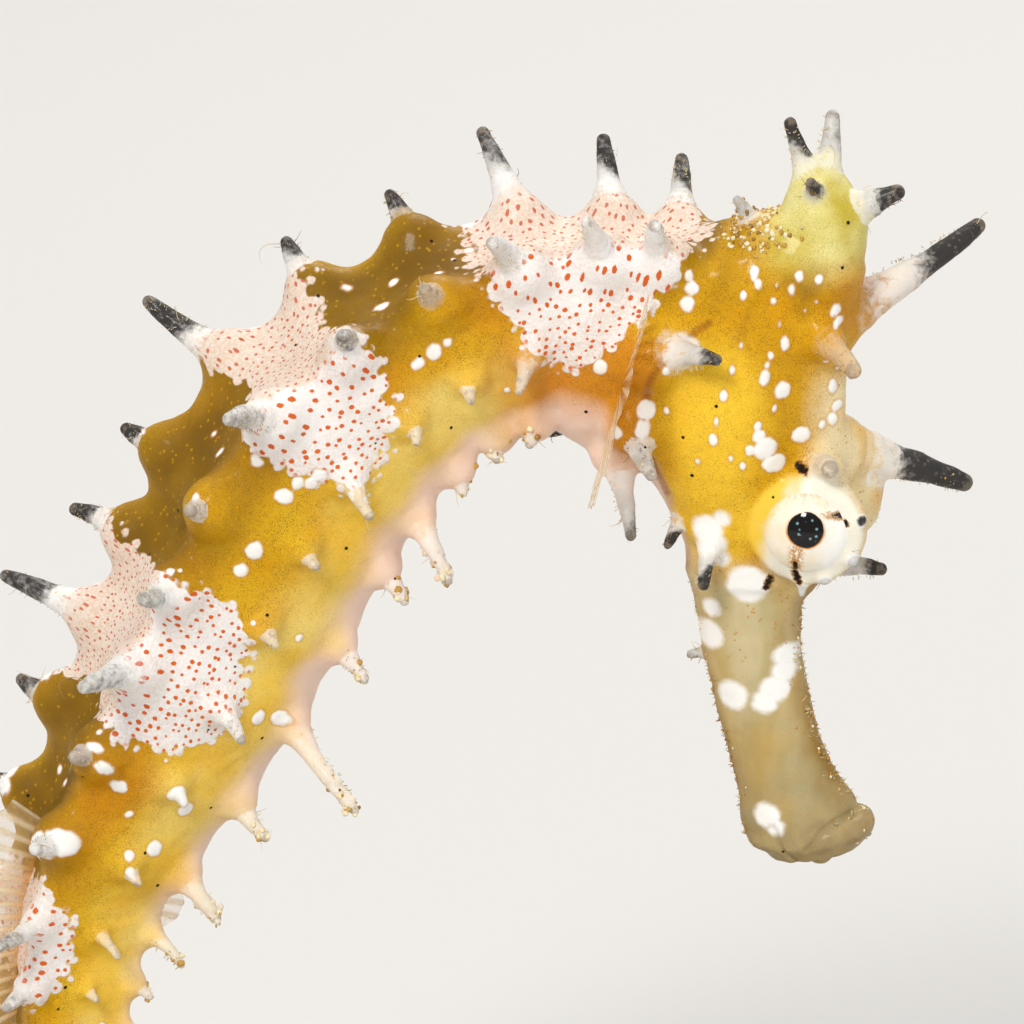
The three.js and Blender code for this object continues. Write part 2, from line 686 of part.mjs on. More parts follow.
// The tail rests on the rod where the midline runs level, at its lowest.
const restFrame = midline.reduce((low, frame) => (frame.place.z < low.place.z ? frame : low));
const restDepth = sizeAt('depth', restFrame.along) * tailSection[0][1];
const rodTop = restFrame.place.z - restDepth - rodGap;
const baseTop = rodTop - rodLength;

const animal = new THREE.Group();
animal.position.set(-baseCentre, 0, standHeight - baseTop);
for (const { name, manifold, look } of pieces) {
  const mesh = new THREE.Mesh(geometryOf(manifold), new THREE.MeshStandardMaterial(look));
  mesh.name = name;
  animal.add(mesh);
}

// The base is an oblong plate with round corners and a small bevel.
function baseGeometry() {
  const bevel = 0.8;
  const halfLength = baseLength / 2 - bevel;
  const halfWidth = baseWidth / 2 - bevel;
  const corner = baseCorner - bevel;
  const outline = new THREE.Shape();
  outline.moveTo(corner - halfLength, -halfWidth);
  outline.absarc(halfLength - corner, corner - halfWidth, corner, -Math.PI / 2, 0);
  outline.absarc(halfLength - corner, halfWidth - corner, corner, 0, Math.PI / 2);
  outline.absarc(corner - halfLength, halfWidth - corner, corner, Math.PI / 2, Math.PI);
  outline.absarc(corner - halfLength, corner - halfWidth, corner, Math.PI, Math.PI * 1.5);
  const geometry = new THREE.ExtrudeGeometry(outline, {
    depth: standHeight - 2 * bevel,
    bevelThickness: bevel,
    bevelSize: bevel,
    bevelSegments: 1,
    curveSegments: 4,
  });
  geometry.translate(0, 0, bevel);
  return geometry;
}

// The rod is one turned piece: a flange at its foot, a shaft and a small cup under the tail.
function rodGeometry() {
  const profile = [
    [0, 0],
    [footRadius, 0],
    [footRadius, footHeight * 0.6],
    [rodRadius * 1.4, footHeight],
    [rodRadius, footHeight * 1.6],
    [rodRadius, rodLength - cupHeight],
    [cupRadius, rodLength],
    [0, rodLength],
  ];
  const geometry = new THREE.LatheGeometry(profile.map(([x, y]) => new THREE.Vector2(x, y)), 16);
  geometry.rotateX(Math.PI / 2);
  return geometry;
}

const model = new THREE.Group();
model.add(animal);

const base = new THREE.Mesh(baseGeometry(), new THREE.MeshStandardMaterial(darkWood));
base.name = 'stand_base';
model.add(base);

const rod = new THREE.Mesh(rodGeometry(), new THREE.MeshStandardMaterial(brass));
rod.name = 'stand_rod';
rod.position.set(restFrame.place.x - baseCentre, restFrame.place.y, standHeight);
model.add(rod);

export default model;
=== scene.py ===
# A life-size thorny seahorse on a small display stand.
# The animal is shaped in millimetres in its own frame, where +X is the way its head faces, +Z is up
# and its right side looks along -Y. The last step of each piece moves it to the CAD frame, in metres.
import math

import bpy
import numpy as np
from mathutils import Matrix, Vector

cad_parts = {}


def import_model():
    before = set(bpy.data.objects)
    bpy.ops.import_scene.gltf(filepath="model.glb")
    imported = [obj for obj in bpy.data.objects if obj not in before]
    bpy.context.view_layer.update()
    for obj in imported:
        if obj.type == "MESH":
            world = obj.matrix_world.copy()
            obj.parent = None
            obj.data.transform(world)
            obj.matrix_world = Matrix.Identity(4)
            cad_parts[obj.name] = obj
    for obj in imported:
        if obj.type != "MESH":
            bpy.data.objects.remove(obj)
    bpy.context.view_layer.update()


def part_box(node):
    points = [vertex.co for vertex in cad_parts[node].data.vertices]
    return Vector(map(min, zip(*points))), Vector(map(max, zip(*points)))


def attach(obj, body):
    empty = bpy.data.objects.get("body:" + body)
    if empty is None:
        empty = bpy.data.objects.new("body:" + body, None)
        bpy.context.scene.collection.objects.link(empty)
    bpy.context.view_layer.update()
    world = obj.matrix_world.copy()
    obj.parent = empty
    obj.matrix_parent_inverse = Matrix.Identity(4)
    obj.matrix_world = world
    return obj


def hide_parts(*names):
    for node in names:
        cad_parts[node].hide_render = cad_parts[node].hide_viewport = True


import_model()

import openvdb
from mathutils import Vector

chance = np.random.default_rng(11)


# small helpers

def lerp(a, b, t):
    return a + (b - a) * t


def ease(t):
    t = np.clip(t, 0, 1)
    return t * t * (3 - 2 * t)


def unit(v):
    return v / np.maximum(np.linalg.norm(v, axis=-1, keepdims=True), 1e-9)


def curveThrough(places, values, at):
    # a smooth curve through a short table of sizes
    places = np.asarray(places, float)
    values = np.asarray(values, float)
    slope = np.gradient(values, places)
    at = np.clip(at, places[0], places[-1])
    i = np.clip(np.searchsorted(places, at, side="right") - 1, 0, len(places) - 2)
    span = places[i + 1] - places[i]
    t = (at - places[i]) / span
    rise = t * t * (3 - 2 * t)
    return (values[i] * (1 - rise) + values[i + 1] * rise
            + span * (slope[i] * t * (1 - t) ** 2 - slope[i + 1] * t * t * (1 - t)))


def turnsOf(sides):
    return np.linspace(0, 2 * math.pi, sides, endpoint=False)


def softNoise(points, size, seed):
    # smooth value noise, about -1 to 1, from a repeating block of random values
    side = 32
    block = np.random.default_rng(seed).uniform(-1, 1, (side, side, side)).astype(np.float32)
    p = points / size
    cell = np.floor(p).astype(int)
    f = ease(p - cell)
    total = 0
    for corner in np.ndindex(2, 2, 2):
        weight = 1
        for axis in range(3):
            weight = weight * (f[:, axis] if corner[axis] else 1 - f[:, axis])
        at = (cell + corner) % side
        total = total + weight * block[at[:, 0], at[:, 1], at[:, 2]]
    return total


# the body's midline, from the neck to the tip of the tail

midlineShape = {
    "neckPoint": (11.2, 0, 8.3),
    "heading": 158,  # degrees from +X towards +Z
    "stretches": [(8, 174, 1), (9, 212, 1), (12, 243, 1), (19, 241, 1), (11, 264, 1), (13, 290, 1),
                  (46, 790, 3.4)],  # length, heading at its end, how much it tightens
    "step": 0.25,
    "trunkYaw": 10, "headYaw": -12, "yawLength": 20,
    # the trunk rolls its back to the animal's right: angle, and the stretches where it sets in and ends
    "roll": 14, "rollFrom": 4, "rollLength": 11, "rollEnd": 62, "rollEndLength": 20,
    "trunkLength": 52, "neckLead": 3.0, "trunkRings": 11, "tailRings": 35, "ringGrowth": 1.25, "tailShrink": 0.955,
}


def traceMidline():
    m = midlineShape
    rows = []
    place = np.array(m["neckPoint"], float)
    heading = m["heading"]
    along = 0.0

    def record():
        yaw = math.radians(lerp(m["headYaw"], m["trunkYaw"], float(ease(along / m["yawLength"]))))
        pitch = math.radians(heading)
        forward = np.array([math.cos(yaw), math.sin(yaw), 0])
        upward = np.array([0, 0, 1.0])
        tangent = forward * math.cos(pitch) + upward * math.sin(pitch)
        rise = forward * math.sin(pitch) - upward * math.cos(pitch)
        side = np.array([-math.sin(yaw), math.cos(yaw), 0])
        rollIn = float(ease((along - m["rollFrom"]) / m["rollLength"]))
        rollOut = float(ease((along - m["rollEnd"]) / m["rollEndLength"]))
        roll = math.radians(m["roll"]) * (rollIn - rollOut)
        back = rise * math.cos(roll) - side * math.sin(roll)
        left = side * math.cos(roll) + rise * math.sin(roll)
        rows.append((along, place.copy(), tangent, back, left))
        return tangent

    for length, endHeading, tighten in m["stretches"]:
        steps = round(length / m["step"])
        startHeading = heading
        extra = (tighten - 1) / 2
        for i in range(steps):
            place = place + record() * m["step"]
            along += m["step"]
            t = (i + 1) / steps
            heading = lerp(startHeading, endHeading, (t + extra * t * t) / (1 + extra))
    record()
    names = ("along", "place", "tangent", "back", "left")
    return {name: np.array([row[k] for row in rows]) for k, name in enumerate(names)}


midline = traceMidline()
bodyLength = midline["along"][-1]


def frameAt(along):
    # place, tangent, back and left of the midline at one or many places
    i = np.clip(np.asarray(along) / midlineShape["step"], 0, len(midline["along"]) - 1.001)
    low = np.floor(i).astype(int)
    t = (i - low)[..., None]
    return [lerp(midline[name][low], midline[name][low + 1], t) for name in ("place", "tangent", "back", "left")]


def ringPlace(ring):
    m = midlineShape
    shrink = m["tailShrink"]
    first = (bodyLength - m["trunkLength"]) * (1 - shrink) / (1 - shrink ** m["tailRings"])
    if ring <= m["trunkRings"]:
        return lerp(m["neckLead"], m["trunkLength"], (ring / m["trunkRings"]) ** m["ringGrowth"])
    return m["trunkLength"] + first * (1 - shrink ** (ring - m["trunkRings"])) / (1 - shrink)


ringEdges = np.array([ringPlace(k) for k in range(midlineShape["trunkRings"] + midlineShape["tailRings"] + 1)])


def ringAt(along):
    return np.interp(along, ringEdges, np.arange(len(ringEdges)))


# the head's own frame: +X to the forehead, +Z to the crown

headPlace = {"point": (13.9, 0, 6.6)}
headTurn = math.radians(midlineShape["headYaw"])
headAxes = np.array([[math.cos(headTurn), math.sin(headTurn), 0],
                     [-math.sin(headTurn), math.cos(headTurn), 0],
                     [0, 0, 1]])


def fromHead(points):
    return np.asarray(points, float) @ headAxes + np.array(headPlace["point"])


def toHead(points):
    return (points - np.array(headPlace["point"])) @ headAxes.T


# where the animal's frame lies in the CAD frame, read from the two eyes

eyeShape = {"x": 2.75, "z": -6.2, "side": 2.75, "radius": 2.65, "bulge": 2.15}


def findAnimal():
    middle = sum((sum(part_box(name), Vector()) for name in ("eye_right", "eye_left")), Vector()) / 4
    return np.array(middle) * 1000 - fromHead([eyeShape["x"], 0, eyeShape["z"]])


animalPlace = findAnimal()
print("animal's frame lies at", np.round(animalPlace, 3), "mm")


def toFrame(points):
    return (np.asarray(points) + animalPlace) / 1000


# the field: a block of distances to the skin, negative inside, in which all the flesh is joined

fieldSizes = {"voxel": 0.12, "quickVoxel": 0.2, "band": 1.4, "margin": 1.2}
voxel = fieldSizes["voxel"]
band = fieldSizes["band"]
fleshNodes = ["coronet", "head", "snout", "neck", "trunk_front", "trunk_middle", "trunk_rear", "tail_root",
              "tail_upper", "tail_bend", "tail_lower", "tail_curl", "tail_inner_curl", "tail_tip"]


def fieldExtent():
    boxes = [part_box(name) for name in fleshNodes]
    low = np.min([box[0] for box in boxes], axis=0) * 1000 - animalPlace - fieldSizes["margin"]
    high = np.max([box[1] for box in boxes], axis=0) * 1000 - animalPlace + fieldSizes["margin"]
    first = np.floor(low / voxel).astype(int)
    return first, np.ceil(high / voxel).astype(int) - first + 1


fieldStart, fieldShape = fieldExtent()


def emptyField():
    return np.full(tuple(fieldShape), band, np.float32)


def meshField(points, quads):
    # distances to a closed mesh
    place = openvdb.createLinearTransform(voxelSize=voxel)
    grid = openvdb.FloatGrid.createLevelSetFromPolygons(
        np.ascontiguousarray(points, np.float32), quads=np.ascontiguousarray(quads, np.uint32),
        transform=place, halfWidth=band / voxel)
    values = emptyField()
    grid.copyToArray(values, ijk=tuple(int(v) for v in fieldStart))
    return values


def patchOf(low, high):
    # the part of the block between two corners, and its coordinates
    first = np.clip(np.floor(np.asarray(low) / voxel).astype(int) - fieldStart, 0, fieldShape - 1)
    last = np.clip(np.ceil(np.asarray(high) / voxel).astype(int) - fieldStart + 1, 1, fieldShape)
    cut = tuple(slice(a, b) for a, b in zip(first, last))
    axes = [((np.arange(a, b) + s) * voxel).astype(np.float32) for a, b, s in zip(first, last, fieldStart)]
    return cut, np.meshgrid(*axes, indexing="ij", sparse=True)


def softUnion(a, b, width):
    share = np.clip(0.5 + 0.5 * (b - a) / width, 0, 1)
    return b + (a - b) * share - width * share * (1 - share)


def softCut(a, b, width):
    return -softUnion(-a, b, width)


def tubeDistance(coords, path, radii):
    x, y, z = coords
    best = None
    for a, b, ra, rb in zip(path[:-1], path[1:], radii[:-1], radii[1:]):
        run = b - a
        dx, dy, dz = x - a[0], y - a[1], z - a[2]
        t = np.clip((dx * run[0] + dy * run[1] + dz * run[2]) / run.dot(run), 0, 1)
        gap = np.sqrt((dx - t * run[0]) ** 2 + (dy - t * run[1]) ** 2 + (dz - t * run[2]) ** 2)
        gap = gap - (ra + (rb - ra) * t)
        best = gap if best is None else np.minimum(best, gap)
    return best


def addTube(field, path, radii, width, cut=False):
    path = np.asarray(path, np.float32)
    radii = np.broadcast_to(radii, len(path))
    reach = float(radii.max()) + width + 2 * voxel
    part, coords = patchOf(path.min(0) - reach, path.max(0) + reach)
    gap = tubeDistance(coords, path, radii.astype(np.float32))
    field[part] = (softCut if cut else softUnion)(field[part], gap, width)


def addBlob(field, centre, radii, width, cut=False, tilt=0.0):
    # an ellipsoid in the head's frame, turned by tilt about the head's Y axis
    centre = fromHead(centre)
    radii = np.asarray(radii, np.float32)
    reach = radii.max() + width + 2 * voxel
    part, (x, y, z) = patchOf(centre - reach, centre + reach)
    c, s = math.cos(math.radians(tilt)), math.sin(math.radians(tilt))
    turned = np.array([[c, 0, s], [0, 1, 0], [-s, 0, c]]) @ headAxes
    local = [sum(float(turned[k][n]) * (v - centre[n]) for n, v in enumerate((x, y, z))) for k in range(3)]
    near = np.sqrt(sum((v / r) ** 2 for v, r in zip(local, radii)))
    steep = np.sqrt(sum((v / r ** 2) ** 2 for v, r in zip(local, radii)))
    gap = near * (near - 1) / np.maximum(steep, 1e-4)
    field[part] = (softCut if cut else softUnion)(field[part], gap.astype(np.float32), width)


def ringMesh(rings):
    # a closed mesh over a row of rings, with a point at each end
    rings = np.asarray(rings, float)
    rows, sides = rings.shape[:2]
    points = np.concatenate([rings.reshape(-1, 3), [rings[0].mean(0), rings[-1].mean(0)]])
    low = (np.arange(rows - 1)[:, None] * sides + np.arange(sides)).ravel()
    nextLow = (np.arange(rows - 1)[:, None] * sides + np.roll(np.arange(sides), -1)).ravel()
    walls = np.stack([low, nextLow, nextLow + sides, low + sides], 1)
    k = np.arange(0, sides, 2)
    start, end = rows * sides, rows * sides + 1
    lastRow = (rows - 1) * sides
    caps = [np.stack([np.full_like(k, start), (k + 2) % sides, k + 1, k], 1),
            np.stack([np.full_like(k, end), lastRow + k, lastRow + k + 1, lastRow + (k + 2) % sides], 1)]
    return points, np.concatenate([walls, *caps])


# trunk and tail

bodyShape = {
    # half depth and half width at places along the midline
    "sizes": [(0, 6.9, 3.7), (4, 6.5, 4.1), (9, 5.7, 4.3), (15, 5.8, 4.6), (24, 6.9, 5.1), (33, 6.6, 5.0),
              (41, 6.1, 4.6), (47, 5.2, 4.0), (55, 4.0, 3.4), (75, 2.8, 2.55), (98, 1.45, 1.35), (118, 0.5, 0.5)],
    # one side of the section from the mid back to the keel, in half widths and half depths
    "trunk": [(0, 0.86), (0.76, 0.92), (0.95, 0.52), (1.0, 0.08), (0.93, -0.4), (0.72, -0.81), (0.37, -1.02),
              (0, -1.1)],
    "tail": [(0, 0.8), (0.9, 0.9), (0.95, 0.45), (0.94, 0.0), (0.9, -0.45), (0.86, -0.86), (0.44, -0.84),
             (0, -0.82)],
    "ringSink": 0.05,  # how far the skin draws in between two rings
    "tipLength": 1.6,  # the tail's rounded end
    "alongStep": 0.2, "sides": 112,
}


def sectionCurve(corners, at):
    # a closed smooth curve through the corners of one side and their mirror images
    half = np.array(corners, float)
    mirrored = half[1:-1][::-1] * (-1, 1)
    ring = np.concatenate([half, mirrored])
    n = len(ring)
    i = np.floor(at).astype(int)
    t = (at - i)[:, None]
    p = [ring[(i + k) % n] for k in (-1, 0, 1, 2)]
    return 0.5 * (2 * p[1] + (p[2] - p[0]) * t + (2 * p[0] - 5 * p[1] + 4 * p[2] - p[3]) * t ** 2
                  + (3 * p[1] - p[0] - 3 * p[2] + p[3]) * t ** 3)


def bodySize(along):
    places, depth, width = np.array(bodyShape["sizes"]).T
    return curveThrough(places, depth, along), curveThrough(places, width, along)


def tailShare(along):
    return ease((along - midlineShape["trunkLength"] + 3) / 9)


def bodySection(along, at):
    # across and up from the midline, for places at along the section
    share = tailShare(along)
    return lerp(sectionCurve(bodyShape["trunk"], at), sectionCurve(bodyShape["tail"], at), share)


def bodyRings():
    at = np.linspace(0, 14, bodyShape["sides"], endpoint=False)
    rings = []
    for along in np.arange(0, bodyLength, bodyShape["alongStep"]):
        place, tangent, back, left = frameAt(along)
        depth, width = np.array(bodySize(along)) * math.sqrt(min((bodyLength - along) / bodyShape["tipLength"], 1))
        between = 0.5 + 0.5 * math.cos(2 * math.pi * ringAt(along))
        draw = 1 - bodyShape["ringSink"] * between ** 1.5
        across, up = bodySection(along, at).T
        rings.append(place + np.outer(across * width * draw, left) + np.outer(up * depth * draw, back))
    return rings


# the head's main form and the snout

headShape = {
    # z, back, front, half width, how much the forehead side narrows
    "sections": [(10.0, -1.8, 3.9, 1.8, 0.1), (8.9, -5.2, 4.5, 2.9, 0.1), (6.4, -6.0, 4.4, 3.4, 0.3),
                 (3.2, -6.2, 4.3, 3.9, 0.45), (0.0, -6.4, 4.25, 4.2, 0.5), (-3.2, -6.6, 4.25, 4.1, 0.42),
                 (-6.0, -5.6, 4.35, 3.7, 0.25), (-8.4, -4.5, 3.9, 3.1, 0.1), (-10.0, -4.1, 2.6, 2.75, 0.0)],
    "sides": 96, "step": 0.25, "capHeight": 0.5,
}
snoutShape = {
    "root": (-0.95, -10.0), "bend": (-0.95, -18.0), "mouth": (3.1, -26.15),
    # share of its length, half depth, half width
    "sections": [(0, 3.25, 2.7), (0.14, 2.9, 2.45), (0.5, 2.6, 2.2), (0.74, 2.75, 2.3), (0.88, 3.3, 2.6),
                 (0.96, 3.2, 2.5), (1.0, 2.3, 1.8)],
    "mouthTilt": 14, "overlap": 2.0,
}


def headRings():
    rows = np.array(headShape["sections"])[::-1]
    angle = turnsOf(headShape["sides"])
    rings = []
    cap = headShape["capHeight"]
    heights = np.arange(rows[0, 0], rows[-1, 0] + 0.01, headShape["step"])
    shrunk = [(heights[0] - cap, 0.5), (heights[0] - cap * 0.7, 0.8)]
    shrunk += [(z, 1) for z in heights]
    shrunk += [(heights[-1] + cap * 0.7, 0.8), (heights[-1] + cap, 0.5)]
    for z, size in shrunk:
        back, front, width, wedge = [float(curveThrough(rows[:, 0], rows[:, k], z)) for k in range(1, 5)]
        middle, half = (front + back) / 2, (front - back) / 2 * size
        y = width * size * np.sin(angle) * (1 - wedge * np.cos(angle))
        rings.append(fromHead(np.stack([middle + half * np.cos(angle), y, np.full_like(y, z)], 1)))
    return rings


def snoutPoint(t):
    # place and direction on the snout's axis in the head's mid plane
    s = snoutShape
    a, b, c = (np.array(s[name], float) for name in ("root", "bend", "mouth"))
    place = a * (1 - t) ** 2 + 2 * b * t * (1 - t) + c * t * t
    ahead = unit((b - a) * (1 - t) + (c - b) * t)
    return place, ahead


def snoutCurve():
    # the same axis in even steps of its length
    fine = np.linspace(0, 1, 200)
    points = np.array([snoutPoint(t)[0] for t in fine])
    run = np.concatenate([[0], np.cumsum(np.linalg.norm(np.diff(points, axis=0), axis=1))])
    return lambda share: float(np.interp(share, run / run[-1], fine))


snoutShare = snoutCurve()


def snoutFrame(share):
    # middle, direction of its depth and half sizes, in the head's frame
    places, depths, widths = np.array(snoutShape["sections"]).T
    place, ahead = snoutPoint(snoutShare(share))
    tilt = -math.radians(snoutShape["mouthTilt"]) * float(ease((share - 0.5) / 0.5))
    c, s = math.cos(tilt), math.sin(tilt)
    across = np.array([-ahead[1] * c - ahead[0] * s, 0, -ahead[1] * s + ahead[0] * c])
    half = float(curveThrough(places, depths, share)), float(curveThrough(places, widths, share))
    return np.array([place[0], 0, place[1]]), across, half


def snoutRings():
    angle = turnsOf(headShape["sides"])
    rings = []
    start = fromHead([snoutShape["root"][0], 0, snoutShape["root"][1] + snoutShape["overlap"]])
    for share in np.linspace(0, 1, 90):
        place, across, (deep, wide) = snoutFrame(share)
        rings.append(fromHead(place + np.outer(deep * np.cos(angle), across)
                              + np.outer(wide * np.sin(angle), [0, 1, 0])))
    rings.insert(0, start + (rings[0] - rings[0].mean(0)) * 0.9)
    return rings


# spines: each has a wide root, an even shaft and a blunt tip

spineShape = {
    "superior": {"short": 3.7, "long": 5.6, "base": 1.5, "tip": 0.34, "turn": 50, "sweep": 7,
                 "dark": 1, "pale": 0.6, "grey": 0.9, "corner": 1, "lastTailRing": 22},
    "lateral": {"short": 1.7, "long": 2.9, "base": 0.95, "tip": 0.26, "turn": -20, "sweep": 14,
                "dark": 0.4, "pale": 0.45, "grey": 0.3, "corner": 3, "lastTailRing": 2},
    "inferior": {"short": 1.8, "long": 3.6, "base": 1.1, "tip": 0.28, "turn": -36, "sweep": 20,
                 "dark": 0.25, "pale": 0.6, "grey": 0.3, "corner": 5, "lastTailRing": 8},
    # ring by ring on the trunk: lengths on the back and the belly, and for the back how far the spines lean
    # tailwards, how white their feet are and how dark the right ones are beside the left ones
    "backLengths": (4.3, 4.9, 5.4, 3.0, 3.2, 5.6, 2.7, 3.5, 5.6, 2.7, 2.8),
    "bellyLengths": (1.6, 1.6, 1.6, 1.6, 1.6, 4.2, 2.5, 2.7, 6.4, 2.9, 3.5),
    "backSweep": (14, 15, 17, 3, -8, 7, 3, 7, 7, 3, 7),
    "palest": (1.0, 1.0, 0.9, 0.2, 0.7, 0.8, 0.5, 0.85, 1.0, 0.4, 0.4),
    "rightShade": (0.2, 0.2, 0.3, 0.5, 0.6, 0.62, 0.5, 0.6, 0.62, 0.5, 0.5), "rightTail": 0.5,
    "shortRings": 3, "shortened": 0.82, "lessPale": 0.4,  # the first right ones of the back
    "tailScale": 0.78, "tailEnd": 0.2, "tailBase": 0.75, "shaft": 0.6, "rootFlare": 0.34, "rootLength": 0.5,
    "uneven": 0.06, "rootDepth": 0.9, "bend": 0.05, "blend": 1.25,
}
spines = []


def addSpine(kind, start, run, base, tip, dark=1.0, darkFrom=0.55, pale=0.8, grey=0.8):
    # the path starts inside the body and bends a little on its way
    start, run = np.asarray(start, float), np.asarray(run, float)
    length = np.linalg.norm(run)
    axis = run / length
    side = unit(np.cross(axis, chance.normal(size=3)))
    share = np.linspace(0, 1, 9)
    end = length - tip * 0.9
    bend = spineShape["bend"] * length * chance.uniform(0.3, 1.2)
    path = start + np.outer(share * end, axis) + np.outer(4 * share * (1 - share) * bend, side)
    path = np.concatenate([[start - axis * base * spineShape["rootDepth"]], path])
    shaft = lerp(base * spineShape["shaft"], tip, np.clip(share, 0, 1))
    shaft = shaft * (1 + spineShape["uneven"] * chance.uniform(-1, 1, len(share)))
    root = np.clip(1 - share / spineShape["rootLength"], 0, 1) ** 2 * base * spineShape["rootFlare"]
    share = np.concatenate([[-0.1], share])
    radii = np.concatenate([[base * 0.75], shaft + root])
    spines.append({"kind": kind, "path": path, "radii": radii, "share": share, "length": length,
                   "base": base, "dark": dark, "darkFrom": darkFrom, "pale": pale, "grey": grey})


def ridgePoint(along, corner, side, inset=0.96):
    place, tangent, back, left = frameAt(along)
    depth, width = bodySize(along)
    across, up = bodySection(along, np.array([float(corner)]))[0]
    return place + left * side * across * width * inset + back * up * depth * inset


def ridgeRun(along, side, turn, headwards, length):
    place, tangent, back, left = frameAt(along)
    turn, headwards = math.radians(turn), math.radians(headwards)
    outward = (left * side * math.cos(turn) + back * math.sin(turn)) * math.cos(headwards)
    return (outward - tangent * math.sin(headwards)) * length


def bodySpines():
    s = spineShape
    trunkRings = midlineShape["trunkRings"]
    lastTailRing = s["superior"]["lastTailRing"]
    for ring in range(1, trunkRings + lastTailRing + 1):
        along = (ringPlace(ring - 1) + ringPlace(ring)) / 2
        onTail = ring > trunkRings
        fade = lerp(s["tailScale"], s["tailEnd"], (ring - trunkRings) / lastTailRing) if onTail else 1
        for kind in ("superior", "lateral", "inferior"):
            k = s[kind]
            if ring > trunkRings + k["lastTailRing"] or (kind != "superior" and ring < 3):
                continue
            isLong = ring % 3 == 0 and not (kind == "inferior" and ring < 6)
            length, sweep, paleness = k["long" if isLong else "short"] * fade, k["sweep"], k["pale"]
            if kind == "superior" and not onTail:
                length, sweep, paleness = (s[name][ring - 1] for name in ("backLengths", "backSweep", "palest"))
            if kind == "inferior" and not onTail:
                length = s["bellyLengths"][ring - 1]
            base = k["base"] * (s["tailBase"] * lerp(1, fade, 0.6) if onTail else 1)
            tip = k["tip"] * lerp(1, fade, 0.5)
            for side in (1, -1):
                dark = k["dark"] * chance.uniform(0.75, 1.1)
                darkFrom = (0.5 if isLong else 0.6) + chance.uniform(-0.08, 0.12)
                onRight = side < 0 and kind == "superior"
                shade = (s["rightTail"] if onTail else s["rightShade"][ring - 1]) if onRight else 1
                isShort = onRight and ring <= s["shortRings"]
                reach = length * (s["shortened"] if isShort else 1)
                way = ridgeRun(along, side, k["turn"], -sweep, reach)
                addSpine(kind, ridgePoint(along, k["corner"], side), way, base, tip, dark * shade, darkFrom,
                         paleness * (s["lessPale"] if isShort else 1), k["grey"] * shade)


# spines of the first rings, round the root of the pectoral fin
shoulderSpines = [
    {"at": 3.4, "corner": 3, "turn": 42, "headwards": 52, "length": 4.6, "base": 1.7, "dark": 0.9, "from": 0.76},
    {"at": 3.4, "corner": 4.5, "turn": -22, "headwards": 32, "length": 3.8, "base": 1.4, "dark": 0.35,
     "from": 0.85},
    {"at": 4.3, "corner": 6, "turn": -62, "headwards": 28, "length": 4.8, "base": 1.3, "dark": 0.7, "from": 0.84,
     "left": {"at": 7.4, "turn": -55, "headwards": -40, "length": 3.4, "dark": 1.1, "from": 0.4}},
]

# spines of the head, in its frame: start, run on the right and on the left, radii and dark tip
headSpines = [
    {"kind": "brow", "from": (3.3, 1.7, -3.3), "right": (0.9, -2.9, 1.1), "left": (7.1, 4.6, -3.1),
     "base": 2.1, "tip": 0.5, "dark": 1.0, "darkFrom": 0.5, "rightDark": 0.15, "rightBase": 1.2, "rightPale": 0.4},
    {"kind": "crown", "from": (3.2, 1.7, 4.2), "right": (2.4, -4.2, -0.5), "left": (7.4, 5.0, 4.4),
     "base": 1.9, "tip": 0.42, "dark": 1.0, "darkFrom": 0.6, "rightDark": 0.3, "rightBase": 1.25,
     "rightPale": 0.25},
    {"kind": "cheek", "from": (-2.5, 2.8, -6.8), "right": (-0.1, -2.2, -2.7), "left": (-0.1, 2.2, -2.7),
     "base": 1.1, "tip": 0.32, "dark": 1.0, "darkFrom": 0.75},
    {"kind": "gill", "from": (-4.1, 2.3, -5.6), "right": (-0.8, -1.4, -2.2), "left": (-0.8, 1.4, -2.2),
     "base": 0.7, "tip": 0.28, "dark": 1.0, "darkFrom": 0.7},
]
papillae = [
    {"from": (4.6, 2.7, -7.0), "run": (0.9, 1.0, -0.9), "dark": 0.1, "base": 0.5},
    {"from": (3.3, 2.7, -8.1), "run": (0.6, 0.9, -1.0), "dark": 0.0, "base": 0.45},
    {"from": (2.2, 2.6, -8.2), "run": (0.4, 0.8, -1.9), "dark": 0.0, "base": 0.4},
    {"from": (3.9, 2.6, -5.2), "run": (1.9, 0.8, -0.3), "dark": 1.2, "base": 0.42},
]
middleSpines = [
    {"kind": "nose", "from": (1.7, 0, -9.8), "run": (5.0, 0, 0.4), "base": 1.35, "tip": 0.36, "dark": 1.1,
     "darkFrom": 0.84},
    {"kind": "chin", "from": (-2.6, 0, -15.0), "run": (-1.7, 0, -0.3), "base": 0.6, "tip": 0.24, "dark": 0.5,
     "darkFrom": 0.6},
    {"kind": "nape", "from": (-0.6, -0.5, 9.3), "run": (-1.2, -0.6, 2.3), "base": 0.95, "tip": 0.3, "dark": 0.35,
     "darkFrom": 0.7},
]
coronetShape = {
    "x": 2.55, "foot": 7.6, "top": 11.6, "footRadius": 2.7, "topRadius": 1.7, "spineBase": 1.15, "spineTip": 0.34,
    # turn, tilt, length, darkness, stoutness and height above the others of each spine
    "spines": [(0, 62, 4.2, 0.85, 1.6, -0.8), (84, 28, 4.8, 0.4, 1.25, 0.0), (150, 24, 4.5, 1.0, 1.0, 0.0),
               (-92, 44, 2.7, 0.8, 0.9, 0.0)],
}


